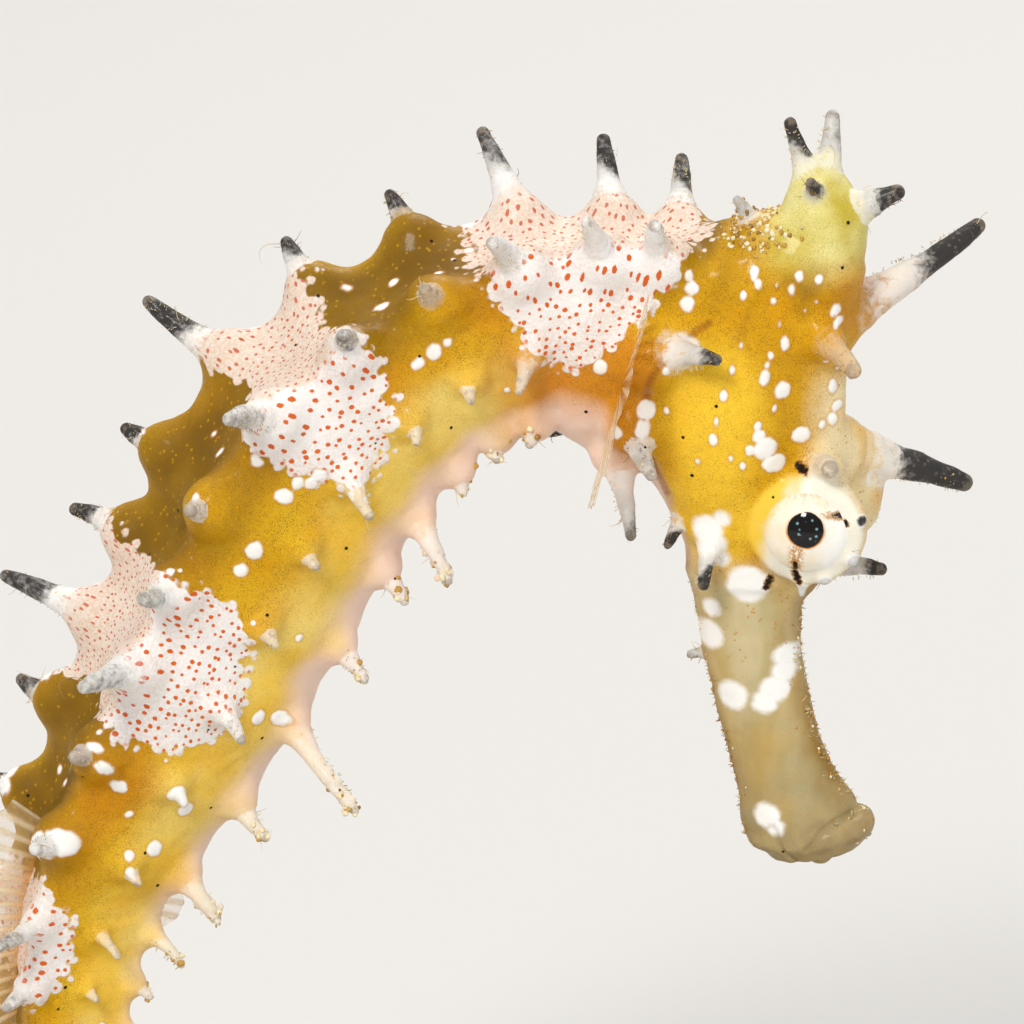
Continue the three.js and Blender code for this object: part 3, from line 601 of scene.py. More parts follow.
def headAndShoulderSpines():
    for given in shoulderSpines:
        for side in (1, -1):
            s = {**given, **given.get("left", {})} if side > 0 else given
            addSpine("shoulder", ridgePoint(s["at"], s["corner"], side),
                     ridgeRun(s["at"], side, s["turn"], s["headwards"], s["length"]),
                     s["base"], 0.3, s["dark"], s["from"])
    for s in headSpines:
        for side, name in ((1, "left"), (-1, "right")):
            x, y, z = s["from"]
            base, dark, pale = s["base"], s["dark"], 0.8
            if side < 0:
                base, dark, pale = s.get("rightBase", base), s.get("rightDark", dark), s.get("rightPale", pale)
            addSpine(s["kind"], fromHead((x, side * y, z)), np.array(s[name]) @ headAxes, base, s["tip"], dark,
                     s["darkFrom"], pale, pale)
    for s in papillae:
        for side in (1, -1):
            mirror = np.array([1, side, 1])
            addSpine("papilla", fromHead(s["from"] * mirror), (s["run"] * mirror) @ headAxes, s["base"], 0.2,
                     s["dark"], 0.35)
    for s in middleSpines:
        addSpine(s["kind"], fromHead(s["from"]), np.array(s["run"]) @ headAxes, s["base"], s["tip"],
                 s["dark"], s["darkFrom"], 0.6, 1.0)
    c = coronetShape
    for turn, tilt, length, dark, stout, lift in c["spines"]:
        turn, tilt = math.radians(turn), math.radians(tilt)
        way = np.array([math.cos(turn) * math.sin(tilt), math.sin(turn) * math.sin(tilt), math.cos(tilt)])
        reach = c["topRadius"] * 0.55
        start = fromHead((c["x"] + way[0] * reach, way[1] * reach, c["top"] - 0.9 + way[2] * 0.7 + lift))
        addSpine("coronet", start, (way @ headAxes) * length, c["spineBase"] * stout,
                 c["spineTip"] * math.sqrt(stout), dark, 0.66, 0.6 if stout >= 1 else 0.15, 0.9)


bodySpines()
headAndShoulderSpines()
print("spines", len(spines))


# features of the head that stand out from or sink into its main form

gillCover = {"centre": (-2.1, 2.45, -0.9), "radii": (3.3, 2.45, 5.3), "tilt": 4, "blend": 0.8}
gillEdge = {"path": [(-2.6, 3.3, 5.4), (-4.8, 3.5, 3.6), (-6.0, 3.6, 0.6), (-6.0, 3.5, -2.2), (-5.0, 3.2, -4.8)],
            "radius": 0.3, "blend": 0.35}
eyeRim = {
    "radius": 2.6, "thick": 0.45, "out": 0.1, "blend": 0.9, "turns": 28,
    "cup": (2.9, 2.25, 2.9), "cupIn": 0.3, "cupBlend": 0.7, "overlap": 0.1, "socketBlend": 0.12,
}
mouth = {
    "ringAt": 0.99, "ring": (2.25, 1.55), "thick": 0.42, "blend": 0.4,
    "hollow": (1.8, 1.15, 1.3), "hollowBlend": 0.3,
    "jawFrom": 0.86, "jawRadius": 0.17, "jawDrop": -0.35, "jawBlend": 0.2,
    "lip": {"at": 0.938, "out": 0.86, "radii": (0.85, 1.7, 0.78), "blend": 0.5, "tilt": 12,
            "foldRadius": 0.2, "foldBlend": 0.35,
            "fold": [(0.88, 0.97), (0.875, 0.8), (0.89, 0.55), (0.92, 0.3), (0.955, 0.1)]},
    "lobe": {"out": 0.12, "drop": 0.35, "radii": (0.8, 1.1, 0.62), "blend": 0.45},
}
frill = {"onLonger": 3, "count": 14, "from": 0.5, "spread": 0.26, "radius": (0.1, 0.24), "blend": 0.2}
crust = {"from": (-1.2, 0, 8.2), "spread": (1.3, 1.1, 0.5), "count": 26, "radius": (0.18, 0.36), "blend": 0.25}


def slant(across):
    return math.degrees(math.atan2(across[2], across[0]))


def addHeadFeatures(field):
    for side in (1, -1):
        def mirrored(p):
            return (p[0], side * p[1], p[2])
        cover = gillCover
        addBlob(field, mirrored(cover["centre"]), cover["radii"], cover["blend"], tilt=cover["tilt"])
        groove = [fromHead(mirrored(p)) for p in smoothPath(gillEdge["path"], 24)]
        addTube(field, groove, gillEdge["radius"], gillEdge["blend"], cut=True)
        # the orbit swells round the eye, and the eye sits in a socket in it
        cup = (eyeShape["x"], side * (eyeShape["side"] - eyeRim["cupIn"]), eyeShape["z"])
        addBlob(field, cup, eyeRim["cup"], eyeRim["cupBlend"])
        centre = np.array([eyeShape["x"], side * (eyeShape["side"] + eyeRim["out"]), eyeShape["z"]])
        turns = np.linspace(0, 2 * math.pi, eyeRim["turns"] + 1)
        rim = [fromHead(centre + eyeRim["radius"] * np.array([math.cos(a), 0, math.sin(a)])) for a in turns]
        addTube(field, rim, eyeRim["thick"], eyeRim["blend"])
        # the socket is a little smaller than the eyeball, whose edge is hidden in the skin
        radii = np.array([eyeShape["radius"], eyeShape["bulge"], eyeShape["radius"]]) - eyeRim["overlap"]
        middle = (eyeShape["x"], side * eyeShape["side"], eyeShape["z"])
        addBlob(field, middle, radii, eyeRim["socketBlend"], cut=True)
    # lips round the open mouth, and the seam of the jaw on each side
    place, across, half = snoutFrame(mouth["ringAt"])
    turns = np.linspace(0, 2 * math.pi, 33)
    deep, wide = mouth["ring"]
    ring = [fromHead(place + across * deep * math.cos(a) + np.array([0, wide * math.sin(a), 0])) for a in turns]
    addTube(field, ring, mouth["thick"], mouth["blend"])
    addBlob(field, place, mouth["hollow"], mouth["hollowBlend"], cut=True, tilt=slant(across))
    lip = mouth["lip"]
    place, across, (deep, wide) = snoutFrame(lip["at"])
    addBlob(field, place + across * deep * lip["out"], lip["radii"], lip["blend"], tilt=slant(across) + lip["tilt"])
    lobe = mouth["lobe"]
    place, across, (deep, wide) = snoutFrame(1.0)
    ahead = np.array([across[2], 0, -across[0]])
    ahead = ahead if ahead[2] < 0 else -ahead
    addBlob(field, place + across * deep * lobe["out"] + ahead * lobe["drop"], lobe["radii"], lobe["blend"],
            tilt=slant(across))
    for side in (1, -1):
        fold = []
        for share, down in lip["fold"]:
            place, across, (deep, wide) = snoutFrame(share)
            fold.append(fromHead(place + across * deep * down
                                 + np.array([0, side * wide * math.sqrt(max(1 - down ** 2, 0)), 0])))
        addTube(field, fold, lip["foldRadius"], lip["foldBlend"], cut=True)
        seam = []
        for share in np.linspace(mouth["jawFrom"], 1.0, 8):
            place, across, (deep, wide) = snoutFrame(share)
            drop = mouth["jawDrop"]
            seam.append(fromHead(place + across * deep * drop + np.array([0, side * wide * math.cos(drop), 0])))
        addTube(field, seam, mouth["jawRadius"], mouth["jawBlend"], cut=True)
    grower = np.random.default_rng(11)
    # frilled tips of the long lower spines
    for s in spines:
        if s["kind"] == "inferior" and s["length"] > frill["onLonger"]:
            for k in range(frill["count"]):
                share = grower.uniform(frill["from"], 1.02)
                spot = lerp(s["path"][1], s["path"][-1], share) + grower.normal(0, 1, 3) * frill["spread"] * share
                addBlob(field, toHead(spot[None])[0], [grower.uniform(*frill["radius"])] * 3, frill["blend"])
    # a crust of small grains behind the coronet
    for k in range(crust["count"]):
        spot = np.array(crust["from"]) + grower.normal(0, 1, 3) * crust["spread"]
        spot[2] = 10.2 - 0.13 * (spot[0] - 1.0) ** 2 - 0.12 * spot[1] ** 2
        addBlob(field, spot, [grower.uniform(*crust["radius"])] * 3, crust["blend"])


def smoothPath(points, count):
    points = np.asarray(points, float)
    run = np.concatenate([[0], np.cumsum(np.linalg.norm(np.diff(points, axis=0), axis=1))])
    at = np.linspace(0, run[-1], count)
    return np.stack([curveThrough(run, points[:, k], at) for k in range(3)], 1)


def buildField():
    field = meshField(*ringMesh(bodyRings()))
    print("body in the field")
    field = softUnion(field, meshField(*ringMesh(headRings())), 1.2)
    c = coronetShape
    column = [fromHead((c["x"], 0, z)) for z in np.linspace(c["foot"], c["top"] - c["topRadius"] * 0.8, 6)]
    addTube(field, column, np.linspace(c["footRadius"], c["topRadius"], 6) * 0.92, 1.2)
    field = softUnion(field, meshField(*ringMesh(snoutRings())), 1.0)
    print("head and snout in the field")
    for s in spines:
        addTube(field, s["path"], s["radii"], spineShape["blend"] * min(s["base"] / 1.5, 1))
    print("spines in the field")
    addHeadFeatures(field)
    return field


def skinMesh():
    field = buildField()
    grid = openvdb.FloatGrid(band)
    grid.copyFromArray(np.clip(field, -band, band), ijk=tuple(int(v) for v in fieldStart), tolerance=0.0)
    grid.transform = openvdb.createLinearTransform(voxelSize=voxel)
    points, quads = grid.convertToQuads(0.0)
    return np.array(points, float), np.array(quads, int)


def newMesh(name, points, faces, smooth=True):
    mesh = bpy.data.meshes.new(name)
    mesh.vertices.add(len(points))
    mesh.vertices.foreach_set("co", np.asarray(points, np.float32).ravel())
    faces = np.asarray(faces, np.int32)
    count, sides = faces.shape
    mesh.loops.add(count * sides)
    mesh.loops.foreach_set("vertex_index", faces.ravel())
    mesh.polygons.add(count)
    mesh.polygons.foreach_set("loop_start", np.arange(0, count * sides, sides, dtype=np.int32))
    mesh.update(calc_edges=True)
    mesh.validate()
    if smooth:
        mesh.shade_smooth()
    piece = bpy.data.objects.new(name, mesh)
    bpy.context.scene.collection.objects.link(piece)
    return piece


def finishPiece(piece, finish, slotName, *nodes):
    piece.data.materials.append(finish)
    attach(piece, "root")
    if nodes:
        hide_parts(*nodes)


def joinParts(name, parts):
    # one piece from many small closed meshes
    starts = np.cumsum([0] + [len(part[0]) for part in parts])
    points = np.concatenate([part[0] for part in parts])
    return newMesh(name, toFrame(points), np.concatenate([part[1] + start for part, start in zip(parts, starts)]))


skinPoints, skinQuads = skinMesh()
print("skin", len(skinPoints), "points")


def outwardFaces(points, faces):
    a, b, c, d = (points[faces[:, k]] for k in range(4))
    volume = np.einsum("ij,ij->i", a, np.cross(b, c) + np.cross(c, d)).sum()
    return faces if volume > 0 else faces[:, ::-1]


# places on the skin: along the body, round it, in the head's frame, and up each spine

def bodyPlaces(points):
    # distance along the midline, and angle from the mid back in degrees, positive on the left
    path, tangent = midline["place"], midline["tangent"]
    along = np.empty(len(points))
    for start in range(0, len(points), 20000):
        part = points[start:start + 20000]
        gap = ((part ** 2).sum(1)[:, None] - 2 * part @ path.T + (path ** 2).sum(1))
        i = gap.argmin(1)
        behind = np.einsum("ij,ij->i", part - path[i], tangent[i]) < 0
        i = np.clip(i - behind, 0, len(path) - 2)
        a = np.einsum("ij,ij->i", part - path[i], tangent[i])
        b = np.einsum("ij,ij->i", part - path[i + 1], tangent[i + 1])
        along[start:start + 20000] = (i + np.clip(a / np.maximum(a - b, 1e-6), 0, 1)) * midlineShape["step"]
    place, tangent, back, left = frameAt(along)
    out = points - place
    up, across = np.einsum("ij,ij->i", out, back), np.einsum("ij,ij->i", out, left)
    return along, np.degrees(np.arctan2(across, up))


def rise(value, start, end):
    return ease((value - start) / (end - start))


def nearSpine(spine, points):
    middle = (spine["path"][0] + spine["path"][-1]) / 2
    return np.nonzero(((points - middle) ** 2).sum(1) < (spine["length"] * 0.62 + 3) ** 2)[0]


def spinePlaces(points):
    # how far up the nearest spine a point lies and how dark that spine is there
    height = np.zeros(len(points))
    dark = np.zeros(len(points))
    gapTo = np.full(len(points), 9.0)
    for s in spines:
        path, radii, share = s["path"], s["radii"], s["share"]
        near = nearSpine(s, points)
        best = np.full(len(near), 9.0)
        at = np.zeros(len(near))
        for k in range(len(path) - 1):
            run = path[k + 1] - path[k]
            t = np.clip((points[near] - path[k]) @ run / (run @ run), 0, 1)
            gap = np.linalg.norm(points[near] - path[k] - t[:, None] * run, axis=1)
            gap = gap - lerp(radii[k], radii[k + 1], t)
            closer = gap < best
            best[closer] = gap[closer]
            at[closer] = lerp(share[k], share[k + 1], t)[closer]
        on = np.clip(1 - best / (0.45 * s["base"] + 0.1), 0, 1)
        mine = best < gapTo[near]
        index = near[mine]
        gapTo[index] = best[mine]
        height[index] = np.clip(at[mine], 0, 1) * ease(on[mine])
        run = path[-1] - path[1]
        t = np.clip((points[index] - path[1]) @ run / (run @ run), 0, 1)
        aside = unit(points[index] - path[1] - t[:, None] * run)[:, 0]  # the side towards the head is the darker
        reach = rise(at[mine] + 0.14 * aside, s["darkFrom"] - 0.22, s["darkFrom"] + 0.16)
        dark[index] = s["dark"] * reach * ease(on[mine])
    return height, dark


# white saddles over the back: place along the body, half length, how far down the side they reach in degrees,
# how much they narrow on the mid back, how far their lower ends lean tailwards and how much those narrow
saddles = [
    (7.9, 5.1, 103, 0.0, 0.4, 0.62), (21.6, 3.9, 100, 0.42, 0.4, 0.25), (37.4, 5.5, 104, 0.3, 0.2, 0.25),
    (55.0, 3.8, 74, 0.2, 0.5, 0.25), (70.4, 2.9, 100, 0.2, 0.0, 0.25), (81.4, 2.4, 110, 0.1, 0.0, 0.2),
    (91.2, 1.9, 120, 0.0, 0.0, 0.2), (99.4, 1.5, 125, 0.0, 0.0, 0.2), (106.8, 1.2, 130, 0.0, 0.0, 0.2),
]

# raised white spots of the trunk: place along, degrees from the mid back, diameter
bodySpots = [
    (15.8, 56, 1.0), (16.8, 57, 0.75), (15.0, 55, 0.5), (6.2, 97, 1.3), (29.5, 58, 1.1), (30.8, 56, 0.95),
    (26.3, 57, 1.2), (25.4, 59, 0.75), (25.0, 65, 0.9), (24.4, 66, 1.0), (25.5, 38, 0.6), (26.5, 12, 0.45),
    (16.8, 13, 0.8), (17.8, -18, 0.5), (14.2, 8, 0.5), (28.2, 30, 0.5), (38.5, 116, 1.0), (38.2, 130, 1.3),
    (43.2, 36, 0.75), (44.0, 43, 0.75), (45.0, 51, 1.0), (44.0, 86, 1.2), (45.0, 106, 1.1), (47.8, 101, 1.3),
    (48.5, 81, 0.75), (49.3, 85, 0.6), (49.0, 40, 1.5), (49.6, 32, 1.4), (50.2, 24, 1.3), (47.0, 8, 0.6),
    (33.4, 112, 0.6), (12.6, 108, 0.5), (46.4, 66, 0.5),
]
# white spots of the head: place in its frame towards the forehead and the crown, diameter
headSpots = [
    (2.0, 7.9, 0.65), (3.0, 7.7, 0.62), (1.6, 7.1, 0.55), (-0.85, 6.9, 0.55), (0.65, 6.5, 0.45), (3.85, 5.8, 0.75),
    (4.0, 5.2, 0.55), (1.3, 4.1, 0.65), (0.35, 2.3, 0.75), (0.45, 3.0, 0.5), (0.6, 3.5, 0.45), (1.25, 1.5, 0.85),
    (-1.3, 2.9, 0.45), (-1.65, 1.5, 0.55), (-2.15, -0.9, 0.7), (3.65, 1.3, 0.65), (-0.35, 8.1, 0.7),
    (-0.1, 7.5, 0.5), (0.5, -1.5, 1.2), (0.2, -0.8, 0.8), (0.95, -2.5, 1.25), (-0.2, -1.5, 0.7), (0.15, -0.2, 0.55),
    (-2.0, 0.1, 0.4), (-3.8, 6.4, 0.9), (-3.6, 7.2, 0.8), (-3.7, 8.0, 0.6), (2.2, -1.2, 1.0), (3.2, -0.8, 0.55),
    (3.9, 0.1, 0.7), (3.7, -0.6, 0.7), (-4.6, 3.1, 0.5), (-4.8, 0.4, 0.5), (-5.9, 0.4, 1.2), (-6.0, -0.6, 0.9),
    (-6.4, -1.8, 0.8), (-7.4, -0.8, 0.8), (2.9, 6.4, 0.3), (2.3, 5.9, 0.28), (1.0, 5.2, 0.3), (-0.9, 4.2, 0.3),
    (3.4, 3.0, 0.35), (3.9, 2.3, 0.3), (-3.0, -2.2, 0.4), (-0.6, -2.4, 0.4), (-1.2, -1.9, 0.35), (0.9, 0.6, 0.3),
]
# the soft white patches of the cheek and the snout
softPatches = [
    (-0.5, -9.8, 2.0), (-2.6, -6.4, 1.5), (-2.3, -7.3, 1.3), (-2.0, -8.3, 0.9), (-1.8, -5.7, 0.8),
    (-2.8, -13.3, 1.5), (-1.4, -16.7, 1.5), (1.45, -14.3, 1.1), (1.35, -15.2, 1.1), (0.9, -16.2, 1.4),
    (0.45, -16.9, 1.2), (0.7, -23.6, 1.3), (1.2, -24.2, 0.9), (-2.6, -11.6, 0.9),
]
# short dark marks of the head: from, to, half width
darkMarks = [
    ((2.1, -2.78), (2.6, -2.98), 0.11), ((4.3, -5.3), (4.9, -5.55), 0.15), ((0.75, -9.3), (0.5, -9.95), 0.12),
    ((2.25, -8.5), (2.4, -9.2), 0.13),
]


def saddleField(along, angle, points):
    drift = softNoise(points, 4.0, 21)
    place = along + 0.7 * drift
    down = np.abs(angle + 9 * softNoise(points, 6.0, 22))
    best = np.full(len(points), -9.0)
    for at, half, reach, waist, lean, taper in saddles:
        width = half * (1 - waist * np.exp(-(down / 28) ** 2))
        width = width * (1 - taper * np.clip(down / reach, 0, 1) ** 2)
        u = np.abs(place - at - lean * (down / 90) ** 2) / width
        r = (u ** 2.6 + (down / reach) ** 3.4) ** (1 / 2.8)
        best = np.maximum(best, (1 - r) * half)
    return best


def spotField(along, angle, reach, head):
    # how far inside the edge of the nearest white spot a point lies, in mm
    best = np.full(len(along), -1.0)
    picker = np.random.default_rng(5)
    spots = [(at, -turn, width) for at, turn, width in bodySpots]
    spots += [(at + picker.normal(0, 0.7), turn + picker.normal(0, 6), width * picker.uniform(0.7, 1.1))
              for at, turn, width in bodySpots]
    spots += [(picker.uniform(60, 112), picker.uniform(-130, 130), picker.uniform(0.35, 0.8)) for k in range(46)]
    for at, turn, width in spots:
        near = np.nonzero(np.abs(along - at) < 2)[0]
        off = (angle[near] - turn + 180) % 360 - 180
        gap = np.hypot((along[near] - at) * picker.uniform(0.85, 1.2), np.radians(off) * reach[near])
        best[near] = np.maximum(best[near], width * 0.42 - gap)
    for side in (-1, 1):
        onSide = np.nonzero((side * head[:, 1] > 0.3) & (head[:, 0] > -8.5) & (head[:, 2] > -9.5))[0]
        for x, z, width in headSpots:
            shift = (0, 0) if side < 0 else picker.normal(0, 0.25, 2)
            narrow = 1.3 if width < 0.8 else 1.0
            gap = np.hypot((head[onSide, 0] - x - shift[0]) * narrow,
                           (head[onSide, 2] - z - shift[1]) * picker.uniform(0.75, 1.05))
            best[onSide] = np.maximum(best[onSide], width * 0.44 - gap)
    return best


def patchField(head):
    best = np.full(len(head), -1.0)
    onHead = np.nonzero((head[:, 0] > -6) & (head[:, 2] < -3))[0]
    for x, z, width in softPatches:
        gap = np.hypot(head[onHead, 0] - x, head[onHead, 2] - z)
        best[onHead] = np.maximum(best[onHead], width * 0.56 - gap)
    return best


def foldField(head):
    # how close a point of the head lies to the line behind the gill cover
    best = np.full(len(head), -1.0)
    near = np.nonzero((np.abs(head[:, 0] + 4) < 4) & (np.abs(head[:, 2]) < 7) & (np.abs(head[:, 1]) > 1.5))[0]
    line = smoothPath(gillEdge["path"], 40)[:, [0, 2]]
    flat = head[near][:, [0, 2]]
    gap = np.min(np.linalg.norm(flat[:, None] - line[None], axis=2), 1)
    best[near] = gillEdge["radius"] * 0.5 - gap
    return best


def markField(head):
    best = np.full(len(head), -1.0)
    onHead = np.nonzero((head[:, 0] > -6) & (np.abs(head[:, 1]) > 1.2))[0]
    flat = head[onHead][:, [0, 2]]
    for start, end, half in darkMarks:
        start, end = np.array(start), np.array(end)
        run = end - start
        t = np.clip((flat - start) @ run / (run @ run), 0, 1)
        gap = np.linalg.norm(flat - start - t[:, None] * run, axis=1)
        best[onHead] = np.maximum(best[onHead], half - gap)
    return best


headEdge = {"z": (-9, -4.8, -2.2, 0.6, 3.6, 5.4, 8.5, 11), "x": (-4.2, -5.0, -6.0, -6.0, -4.8, -3.2, -2.6, -2.4)}
gillOvals = [(-2.1, 0.1, 3.3, 5.4), (-2.5, -5.6, 3.2, 4.4)]  # middle x and z, half width and half height


def headRegions(head):
    x, y, z = head.T
    ahead = x - np.interp(z, headEdge["z"], headEdge["x"])
    onHead = rise(ahead, -0.5, 0.9)
    near = rise(x, -7.5, -6.0)
    snoutOn = (1 - rise(z, -10.6, -8.2)) * near
    gill, lower = [1 - np.hypot((x - x0) / wide, (z - z0) / high) for x0, z0, wide, high in gillOvals]
    gill = np.maximum(rise(gill, -0.05, 0.45), 0.85 * rise(lower, 0.0, 0.4)) * rise(np.abs(y), 1.2, 2.6)
    crown = rise(z, 6.6, 9.6) * rise(x, -1.4, 1.2)
    cheek = np.maximum((1 - rise(z, -9.4, -7.2)) * (1 - snoutOn), rise(x, 1.8, 3.6) * (1 - rise(z, 0.5, 3.4)))
    eyeGap = np.hypot(x - eyeShape["x"], z - eyeShape["z"])
    orbit = (1 - rise(eyeGap, 2.9, 3.35)) * rise(np.abs(y), 2.2, 3.0)
    lips = (1 - rise(z - 0.55 * x, -26.2, -24.2)) * near
    # painted shade: the lower snout is darkened towards the mouth, where it lies in shadow
    muzzleShade = (1 - rise(z, -25.0, -12.0)) * near
    return {"onHead": onHead, "snout": snoutOn, "gill": gill * onHead, "crown": crown, "cheek": cheek * onHead,
            "orbit": orbit, "lips": lips, "muzzleShade": muzzleShade}


# shader helpers: each adds its node to the tree that was opened last

tree = None


def tone(red, green, blue):
    # a display colour as linear light
    parts = [v / 255 for v in (red, green, blue)]
    return [((v + 0.055) / 1.055) ** 2.4 if v > 0.04 else v / 12.92 for v in parts] + [1]


def setInputs(node, values):
    for name, value in values.items():
        if isinstance(value, bpy.types.NodeSocket):
            tree.links.new(value, node.inputs[name])
        else:
            node.inputs[name].default_value = value


def addNode(kind, values={}, **settings):
    made = tree.nodes.new("ShaderNode" + kind)
    for name, value in settings.items():
        setattr(made, name, value)
    setInputs(made, values)
    return made


def mixed(share, a, b):
    return addNode("Mix", {0: share, 6: a, 7: b}, data_type="RGBA").outputs[2]


def calc(how, a, b=0.0, c=0.0):
    return addNode("Math", {0: a, 1: b, 2: c}, operation=how).outputs[0]


def times(a, b):
    return calc("MULTIPLY", a, b)


def plus(a, b):
    return calc("ADD", a, b)


def inverse(value):
    return calc("SUBTRACT", 1.0, value)


def scaled(value, by, start):
    # start, plus the value times by
    return calc("MULTIPLY_ADD", value, by, start)


def swing(value, amount):
    # turns a value that lies about 0.5 into one that lies about zero
    return times(calc("SUBTRACT", value, 0.5), amount)


def span(value, low, high, start=0.0, end=1.0):
    # a smooth step from low to high
    values = {"Value": value, "From Min": low, "From Max": high, "To Min": start, "To Max": end}
    return addNode("MapRange", values, interpolation_type="SMOOTHSTEP").outputs[0]


def mask(name):
    return addNode("Attribute", attribute_name=name).outputs["Fac"]


def vector(name):
    return addNode("Attribute", attribute_name=name).outputs["Vector"]


def objectPlace():
    return addNode("TexCoord").outputs["Object"]


def noise(place, size, detail=2.0, rough=0.5, distort=0.0):
    # size in the units of the coordinates
    values = {"Vector": place, "Scale": 1 / size, "Detail": detail, "Roughness": rough, "Distortion": distort}
    return addNode("TexNoise", values).outputs[0]


def newGroup(name, inputs, outputs):
    # a group that works at a place, with more inputs and outputs that are numbers
    global tree
    tree = bpy.data.node_groups.new(name, "ShaderNodeTree")
    tree.interface.new_socket("Place", in_out="INPUT", socket_type="NodeSocketVector")
    for label, value in inputs.items():
        tree.interface.new_socket(label, in_out="INPUT", socket_type="NodeSocketFloat").default_value = value
    for label in outputs:
        tree.interface.new_socket(label, in_out="OUTPUT", socket_type="NodeSocketFloat")
    return tree, tree.nodes.new("NodeGroupInput").outputs, tree.nodes.new("NodeGroupOutput").inputs


def useGroup(group, values):
    return addNode("Group", values, node_tree=group).outputs


def newFinish(name):
    global tree
    finish = bpy.data.materials.new(name)
    finish.use_nodes = True
    tree = finish.node_tree
    return finish


def setShader(**values):
    setInputs(tree.nodes["Principled BSDF"], {name.replace("_", " "): value for name, value in values.items()})


def bumpFrom(height, strength, distance):
    return addNode("Bump", {"Height": height, "Strength": strength, "Distance": distance}).outputs[0]


# effects that more than one material uses

def makeDrift():
    # slow, cloudy change over a surface
    group, given, result = newGroup("slowDrift", {"Scale": 1.0, "Sharpness": 0.5}, ["Value"])
    values = {"Vector": given["Place"], "Scale": given["Scale"], "Detail": 2.5, "Roughness": 0.55}
    cloud = addNode("TexNoise", values).outputs[0]
    half = times(inverse(given["Sharpness"]), 0.35)
    low, high = calc("SUBTRACT", 0.5, half), plus(0.5, half)
    tree.links.new(span(cloud, low, high), result["Value"])
    return group


def makeGrain():
    # the fine dark network of a fish's skin, and the height that goes with it
    group, given, result = newGroup("skinGrain", {"Cell": 8.0, "Amount": 1.0}, ["Dark", "Height"])
    fine = addNode("TexNoise", {"Vector": given["Place"], "Scale": given["Cell"], "Detail": 1.5,
                                "Roughness": 0.6, "Distortion": 0.25}).outputs[0]
    coarse = addNode("TexNoise", {"Vector": given["Place"], "Scale": times(given["Cell"], 0.11),
                                  "Detail": 1.0}).outputs[0]
    where = span(coarse, 0.3, 0.65, 0.45, 1.0)
    dark = times(span(fine, 0.46, 0.64), times(where, given["Amount"]))
    tree.links.new(dark, result["Dark"])
    tree.links.new(inverse(span(fine, 0.36, 0.64)), result["Height"])
    return group


def makeSpecks():
    # sparse small specks: the width of one in cells, and the share of cells that have one
    group, given, result = newGroup("sparseSpecks", {"Scale": 1.0, "Width": 0.3, "Share": 0.5}, ["Value"])
    cells = addNode("TexVoronoi", {"Vector": given["Place"], "Scale": given["Scale"]})
    picked = calc("LESS_THAN", addNode("SeparateXYZ", {0: cells.outputs["Color"]}).outputs[1], given["Share"])
    core = times(given["Width"], 0.6)
    near = inverse(span(cells.outputs["Distance"], core, given["Width"]))
    tree.links.new(times(near, picked), result["Value"])
    return group


slowDrift = makeDrift()
skinGrain = makeGrain()
sparseSpecks = makeSpecks()


def drift(place, size, sharpness=0.5):
    return useGroup(slowDrift, {"Place": place, "Scale": 1 / size, "Sharpness": sharpness})[0]


def specks(place, size, width, share):
    # size is that of a cell, in mm where the place is in metres
    return useGroup(sparseSpecks, {"Place": place, "Scale": 1000 / size, "Width": width, "Share": share})[0]


# the skin's colours and finish; sizes in mm

skinTones = {
    "golden": tone(232, 174, 4), "deep": tone(212, 144, 0), "lemon": tone(238, 200, 48), "moss": tone(190, 158, 12),
    "olive": tone(136, 102, 6), "backDeep": tone(92, 66, 4), "paleGold": tone(252, 226, 128),
    "peach": tone(250, 206, 78), "rust": tone(212, 126, 18), "belly": tone(246, 214, 194),
    "saddle": tone(252, 249, 247), "saddleShade": tone(222, 202, 192), "saddleBack": tone(226, 190, 152),
    "dot": tone(222, 98, 30), "dotBack": tone(204, 84, 36), "spot": tone(255, 253, 248),
    "spotEdge": tone(196, 126, 20), "fold": tone(150, 78, 10),
    "spineWhite": tone(243, 242, 238), "spineGrey": tone(146, 142, 136), "spineBlack": tone(32, 27, 25),
    "spineTip": tone(140, 126, 108), "gill": tone(250, 204, 52), "crown": tone(200, 178, 48),
    "crownPale": tone(240, 232, 156), "cheek": tone(244, 224, 176), "snout": tone(190, 172, 120),
    "snoutPale": tone(222, 208, 168), "muzzleShade": tone(140, 126, 86), "snoutEdge": tone(146, 106, 22),
    "lips": tone(158, 138, 98), "orbit": tone(252, 244, 224), "orbitRim": tone(252, 208, 70),
    "speckle": tone(206, 132, 30), "grain": tone(128, 82, 4), "black": tone(16, 12, 10), "brown": tone(132, 84, 16),
}
skinLook = {
    "dotSpacing": 0.55, "dotSize": (0.13, 0.24), "backDotSpacing": 0.4, "backDotSize": (0.12, 0.2),
    "lobe": 0.66, "grainCell": 0.068,
    "roughness": (0.42, 0.64), "specular": 0.16, "coat": 0.12, "coatRoughness": 0.12,
    "subsurface": 0.14, "subsurfaceRadius": (1.0, 0.55, 0.3), "subsurfaceScale": 0.0012,
    "bump": (0.55, 0.00005),  # strength and distance
}


def saddleMask(place):
    # rounded lobes along the edge of the white saddles
    lobes = addNode("TexVoronoi", {"Vector": place, "Scale": 1000 / skinLook["lobe"], "Smoothness": 0.4},
                    feature="SMOOTH_F1").outputs["Distance"]
    ragged = noise(place, 0.00035, 2.0, 0.6)
    edge = plus(mask("saddle"), times(calc("SUBTRACT", 0.4, lobes), 1.5))
    edge = plus(edge, swing(ragged, 0.45))
    return span(edge, -0.12, 0.12)


